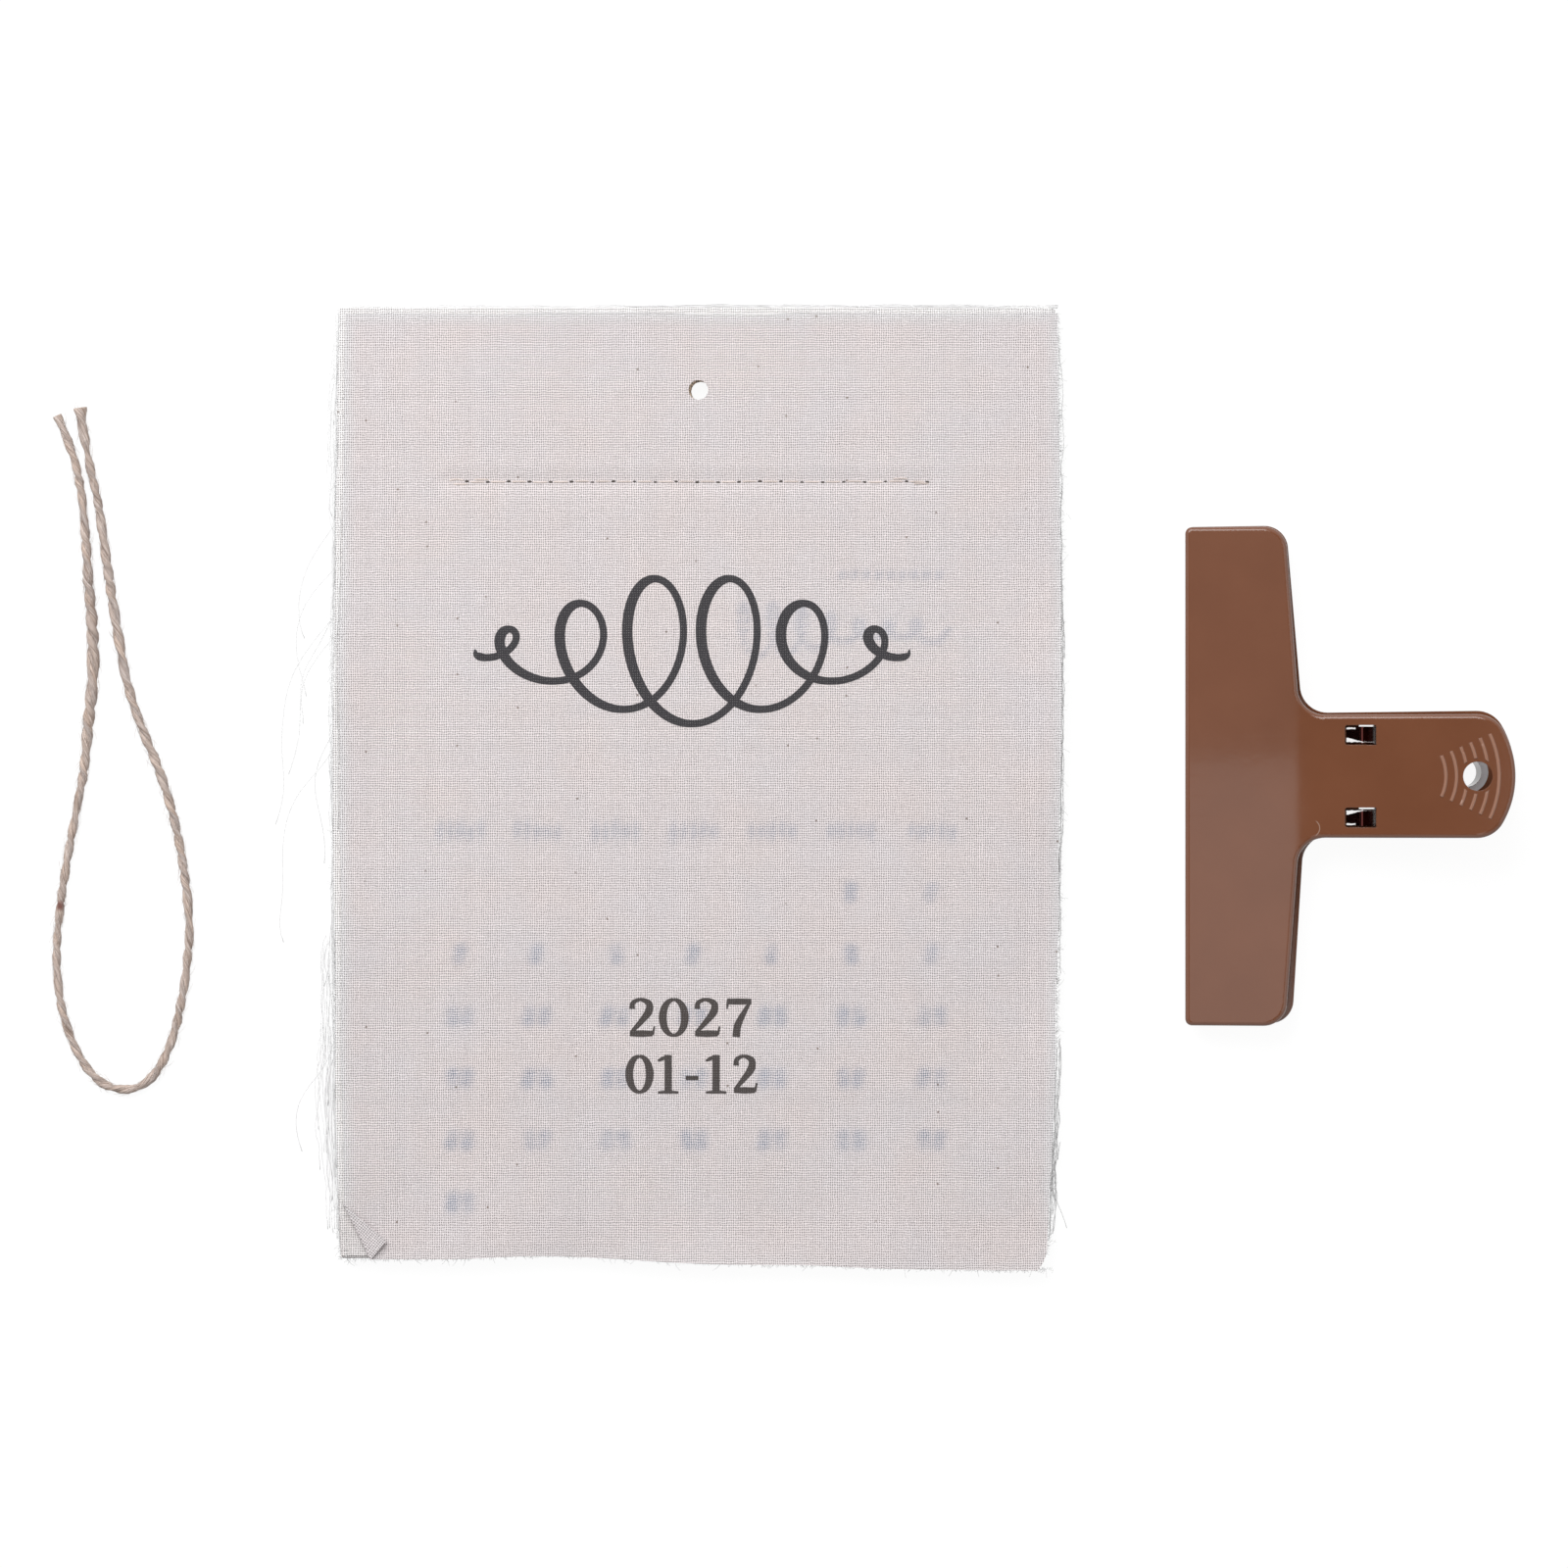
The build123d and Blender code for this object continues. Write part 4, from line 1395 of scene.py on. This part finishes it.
def makeEdgeRuns(material):
    # threads freed by the cut, lying along each sheet's edge
    draw = random.Random(fray["seed"] + 2)
    runs = Bundle()
    shortest = fray["runLength"][0]
    for level in range(pad["pages"] + 1):
        edges = sheetEdges(level)
        for side in fray["runSides"]:
            low, high = edgeEnds(side, edges)
            begin = draw.uniform(low, high - shortest)
            finish = min(high, begin + draw.uniform(*fray["runLength"]))
            away = draw.uniform(*fray["runAway"])
            phase = draw.uniform(*fray["phase"])
            points = []
            for t in np.linspace(begin, finish, int((finish - begin) / fray["runStep"]) + 2):
                stray = away * (1 + 0.8 * roughAt(t * 0.12, phase, 0.3))
                x, y = besideEdge(side, t, edges, sheetSeed(level), stray)
                z = max(0.1, sheetTop(x, y, level) - fray["underTop"])
                points.append((x * mm, y * mm, z * mm))
            runs.tube(points, [fray["threadRadius"] * mm] * len(points), 4)
    return runs.piece("edge_threads", material)


def makeFringe(material):
    # flat threads that have come loose side by side along the edges
    draw = random.Random(fray["seed"] + 3)
    fringe = Bundle()
    shortShare, longShare, longest = fray["fringeLength"]
    for side, count, low, high, reach in fray["fringe"]:
        for _ in range(count):
            length = draw.uniform(shortShare, longShare) * min(high - low, longest)
            begin = draw.uniform(low, high - length)
            aside = draw.random() ** 1.3
            phase = draw.uniform(*fray["phase"])
            height = draw.uniform(*fray["fringeHeight"]) * (1 - 0.7 * aside)
            points = []
            for t in np.linspace(begin, begin + length, int(length / fray["fringeStep"]) + 3):
                belly = 0.3 + 0.7 * max(0.0, math.sin(math.pi * (t - low) / (high - low))) ** 0.5
                slow = roughAt(t * 0.13, phase, 0.3)
                fast = roughAt(t * 0.6, phase, 4.3)
                away = 0.15 + reach * aside * belly + (0.8 * slow + 0.3 * fast) * (0.4 + aside)
                x, y = besideEdge(side, t, pageEdges, sheetSeed(0), away)
                points.append((x * mm, y * mm, max(0.12, height + 0.3 * slow) * mm))
            radius = fray["threadRadius"] * draw.uniform(*fray["fringeThick"]) * mm
            fringe.tube(points, [radius] * len(points), 5, flat=fray["fringeFlat"])
    return fringe.piece("loose_fringe", material)


def drawnThread(bundle, draw, start, length, drift, reach, radius, height):
    # a thread that has come out of the edge and hangs beside it
    steps = max(8, int(length / 1.6))
    down = -math.pi / 2
    heading = down + draw.uniform(-0.25, 0.25)
    x, y = start
    phase = draw.uniform(0, 50)
    points = []
    for k in range(steps):
        share = k / (steps - 1)
        points.append((x * mm, y * mm, max(0.12, height * (1 - share)) * mm))
        heading += 0.30 * roughAt(k * 0.13 + phase, phase, 0.1)
        heading += 0.10 * (down - heading)
        pull = drift * (1 - min(1, abs(x - start[0]) / reach))
        x += length / steps * (math.cos(heading) + pull)
        y += length / steps * math.sin(heading)
    bundle.tube(points, [radius * mm] * steps, 4)


def makeDrawnThreads(material):
    draw = random.Random(fray["seed"] + 1)
    threads = Bundle()

    def hang(side, y, lengths, drift, reaches):
        start = besideEdge(side, y, pageEdges, sheetSeed(0), -fray["threadInset"])
        length = draw.uniform(*lengths)
        reach = draw.uniform(*reaches)
        height = draw.uniform(*fray["threadHeight"])
        drawnThread(threads, draw, start, length, drift, reach, fray["threadRadius"], height)

    lowSpan, highSpan = fray["leftSpans"]
    lowLength, highLength = fray["leftLengths"]
    for k in range(fray["leftThreads"]):
        isLow = k % 3 > 0
        y = draw.uniform(*(lowSpan if isLow else highSpan))
        hang("left", y, lowLength if isLow else highLength, *fray["leftDrift"])
    lowSpan, highSpan = fray["rightSpans"]
    for k in range(fray["rightThreads"]):
        y = draw.uniform(*(lowSpan if k % 2 else highSpan))
        hang("right", y, fray["rightLength"], *fray["rightDrift"])
    drift, reaches = fray["wispDrift"]
    for _ in range(fray["wisps"]):
        # long thin ones that drift well away
        y = draw.uniform(*fray["wispSpan"])
        start = besideEdge("left", y, pageEdges, sheetSeed(0), -fray["wispInset"])
        length = draw.uniform(*fray["wispLength"])
        reach = draw.uniform(*reaches)
        drawnThread(threads, draw, start, length, drift, reach, fray["wispRadius"], fray["wispHeight"])
    return threads.piece("drawn_threads", material)


frayThread = threadMaterial("frayThread", fray["lightColour"], fray["shadeColour"])
edgeFuzz = makeFuzzEdges(frayThread)
edgeThreads = makeEdgeRuns(frayThread)
drawnThreads = makeDrawnThreads(frayThread)
looseFringe = makeFringe(frayThread)
print("frayed edges ready")


# clip: the moulded halves keep their solids, and the spring is a copy of its solid with widened prongs

clip = {
    "plasticColour": (0.160, 0.060, 0.030, 1),
    "plasticLight": (0.176, 0.067, 0.034, 1),
    "cloud": (60.0, 4.0),
    "scratch": (2.0, 4.0),
    "scratchStretch": (40.0, 900.0, 40.0),
    "scratchTurn": 0.5,
    "roughRange": (0.3, 1.5, 0.05, 0.11),
    "skin": (420.0, 2.0),
    "roundEdge": 0.2,
    "nickColour": (0.42, 0.30, 0.24, 1),
    "nick": (126.9, -91.2, 1.8),
    "nickLine": (0.04, 0.14),
    "nickForward": (127.8, 128.2),
    "nickLevel": (8.0, 9.0),
    "ridgeHighlightColour": (0.34, 0.175, 0.115, 1),
    "ridgeHighlightRise": (0.03, 0.13),
    "ridgePlane": (160.466, -80.45, 15.7826),
    "ridgeUp": (-0.185373, 0.0, 0.982668),
    "ridgesFrom": (150.0, 151.0),
    "jawUp": (-0.116, 0.0, 0.9932),
    "bendSpan": (119.0, 132.0),
    "bendAgree": (0.985, 0.995),
    "tubePaintedLight": (0.90, 0.90, 0.93, 1),
    "tubeFrom": (6.25, 6.38),
    "tubeTo": (9.0, 9.5),
    "steelColour": (0.62, 0.61, 0.60, 1),
    "steelShade": (0.40, 0.39, 0.38, 1),
    "brush": (1.0, 4.0),
    "brushStretch": (200.0, 5000.0, 200.0),
    "flatMap": "springFlat",
    "prongDarkReflection": (0.085, 0.025, 0.022, 1),
    "prongGlintColour": (0.96, 0.955, 0.95, 1),
    "prongRagged": (0.9, 3.0),
    "prongStray": 0.5,
    "prongEdges": (7.04, 10.52),
    "prongSpan": (134.2, 137.4),
    "prongEnd": (139.6, 140.2),
    "glintWedgeWide": (1.25, 0.42),
    "glintRimEnd": (135.9, 136.1),
    "tilt": 4.683,
    "springArm": 2.8,
    "springRound": 0.2,
    "prongAside": 8.53,
    "prongHalf": 1.25,
    "prongWiden": 1.45,
}


def inMetres(values):
    return tuple(value * mm for value in values)


def softBend(tree, x, rounded):
    # the outer face turns gently from the jaw into the handle
    turn = spread(tree, x, *inMetres(clip["bendSpan"]))
    unit = vectorCalc(tree, "NORMALIZE", mixVector(tree, turn, clip["jawUp"], clip["ridgeUp"]))
    spaces = {"vector_type": "NORMAL", "convert_from": "OBJECT", "convert_to": "WORLD"}
    turned = node(tree, "ShaderNodeVectorTransform", {0: unit}, **spaces).outputs[0]
    agree = vectorCalc(tree, "DOT_PRODUCT", rounded, turned)
    return mixVector(tree, spread(tree, agree, *clip["bendAgree"]), rounded, turned)


def plasticMaterial():
    material, tree, shader = newMaterial("clipPlastic")
    place = node(tree, "ShaderNodeTexCoord").outputs["Object"]
    split = splitPlace(tree, place)
    x, z = split["X"], split["Z"]
    cloud = noiseAt(tree, place, *clip["cloud"])
    colour = mixColour(tree, spread(tree, cloud, 0.35, 0.65), clip["plasticColour"], clip["plasticLight"])
    # a small curved nick on the outer face
    nickX, nickY, nickRound = inMetres(clip["nick"])
    flat = vectorCalc(tree, "MULTIPLY", place, (1, 1, 0))
    toNick = vectorCalc(tree, "DISTANCE", flat, (nickX, nickY, 0))
    offLine = calc(tree, "ABSOLUTE", calc(tree, "SUBTRACT", toNick, nickRound))
    nick = spread(tree, offLine, *inMetres(clip["nickLine"]), 0.6, 0.0)
    forward = spread(tree, x, *inMetres(clip["nickForward"]))
    onTop = spread(tree, z, *inMetres(clip["nickLevel"]))
    colour = mixColour(tree, times(tree, nick, forward, onTop), colour, clip["nickColour"])
    # ridges painted pale along their crests: a painted highlight
    over = vectorCalc(tree, "SUBTRACT", place, inMetres(clip["ridgePlane"]))
    rise = vectorCalc(tree, "DOT_PRODUCT", over, clip["ridgeUp"])
    ridgeHighlight = spread(tree, rise, *inMetres(clip["ridgeHighlightRise"]), 0.0, 0.8)
    onRidges = spread(tree, x, *inMetres(clip["ridgesFrom"]))
    colour = mixColour(tree, times(tree, ridgeHighlight, onRidges), colour, clip["ridgeHighlightColour"])
    # the end of the tube that shows through the hanging hole is painted pale grey: painted light on a face
    # that lies in shade under the upper half
    tube = times(tree, spread(tree, z, *inMetres(clip["tubeFrom"])), onRidges)
    tube = times(tree, tube, spread(tree, z, *inMetres(clip["tubeTo"]), 1.0, 0.0))
    colour = mixColour(tree, tube, colour, clip["tubePaintedLight"])
    rub = stretchPlace(tree, place, clip["scratchStretch"], clip["scratchTurn"])
    fine = spread(tree, noiseAt(tree, rub, *clip["scratch"]), 0.62, 0.75)
    setInputs(tree, shader, {
        "Base Color": colour,
        "Roughness": spread(tree, calc(tree, "ADD", fine, cloud), *clip["roughRange"]),
    })
    rounded = node(tree, "ShaderNodeBevel", {"Radius": clip["roundEdge"] * mm}, samples=4).outputs[0]
    skin = noiseAt(tree, place, *clip["skin"])
    addBump(tree, shader, skin, 0.05, 0.05, softBend(tree, x, rounded))
    return material


def steelMaterial():
    material, tree, shader = newMaterial("springSteel")
    place = node(tree, "ShaderNodeTexCoord").outputs["Object"]
    lines = noiseAt(tree, stretchPlace(tree, place, clip["brushStretch"]), *clip["brush"])
    colour = mixColour(tree, spread(tree, lines, 0.3, 0.7), clip["steelShade"], clip["steelColour"])
    # the prongs' ends are painted dark maroon, a painted reflection of the shaded plastic inside the windows,
    # with painted white glints along their edges
    flat = node(tree, "ShaderNodeUVMap", uv_map=clip["flatMap"]).outputs[0]
    ragged = noiseAt(tree, flat, *clip["prongRagged"])
    split = splitPlace(tree, flat)
    inner, outer = clip["prongEdges"]
    aside = calc(tree, "MULTIPLY_ADD", ragged, clip["prongStray"], split["Y"])
    fromInner = calc(tree, "SUBTRACT", aside, inner)
    fromOuter = calc(tree, "SUBTRACT", outer, aside)
    wide = spread(tree, split["X"], *clip["prongSpan"], *clip["glintWedgeWide"])
    glintWedge = spread(tree, calc(tree, "SUBTRACT", wide, fromInner), 0.0, 0.12)
    glintWedge = times(tree, glintWedge, spread(tree, fromInner, 0.16, 0.28))
    # a painted white glint along each prong's outer edge, beside the one along its inner edge
    rim = times(tree, spread(tree, fromOuter, 0.12, 0.24), spread(tree, fromOuter, 0.5, 0.62, 1.0, 0.0))
    rim = times(tree, rim, spread(tree, split["X"], *clip["glintRimEnd"], 1.0, 0.0))
    atEnd = spread(tree, split["X"], *clip["prongEnd"], 1.0, 0.0)
    bright = times(tree, calc(tree, "MAXIMUM", glintWedge, rim), atEnd)
    colour = mixColour(tree, atEnd, colour, clip["prongDarkReflection"])
    setInputs(tree, shader, {
        "Base Color": mixColour(tree, bright, colour, clip["prongGlintColour"]),
        "Metallic": spread(tree, bright, 0, 1, 1.0, 0.15),
        "Roughness": spread(tree, lines, 0.3, 0.7, 0.16, 0.08),
    })
    return material


def makeSpring():
    mesh = frame["nodes"]["clip_spring"].data.copy()
    mesh.name = "spring_strip"
    mesh.materials.clear()
    mesh.materials.append(steelMaterial())
    spring = bpy.data.objects.new("spring_strip", mesh)
    scene.collection.objects.link(spring)
    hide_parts("clip_spring")
    pivot = Vector(frame["joints"][0]["pos_m"])
    for vertex in mesh.vertices:
        # prongs spread over the upper windows
        side = 1 if vertex.co.y > pivot.y else -1
        centre = pivot.y + side * clip["prongAside"] * mm
        if vertex.co.z > pivot.z and abs(vertex.co.y - centre) < clip["prongHalf"] * mm:
            vertex.co.y = centre + (vertex.co.y - centre) * clip["prongWiden"]
    places = [(vertex.co.x / mm, abs(vertex.co.y - pivot.y) / mm) for vertex in mesh.vertices]
    addFlatMap(spring, clip["flatMap"], places)
    bevel = spring.modifiers.new("roundedEdges", "BEVEL")
    bevel.width = clip["springRound"] * mm
    bevel.segments = 2
    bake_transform(spring)


clipPlastic = plasticMaterial()
for name in ("clip_upper_half", "clip_lower_half"):
    half = frame["nodes"][name]
    half.data.materials.clear()
    half.data.materials.append(clipPlastic)
makeSpring()
print("clip ready")
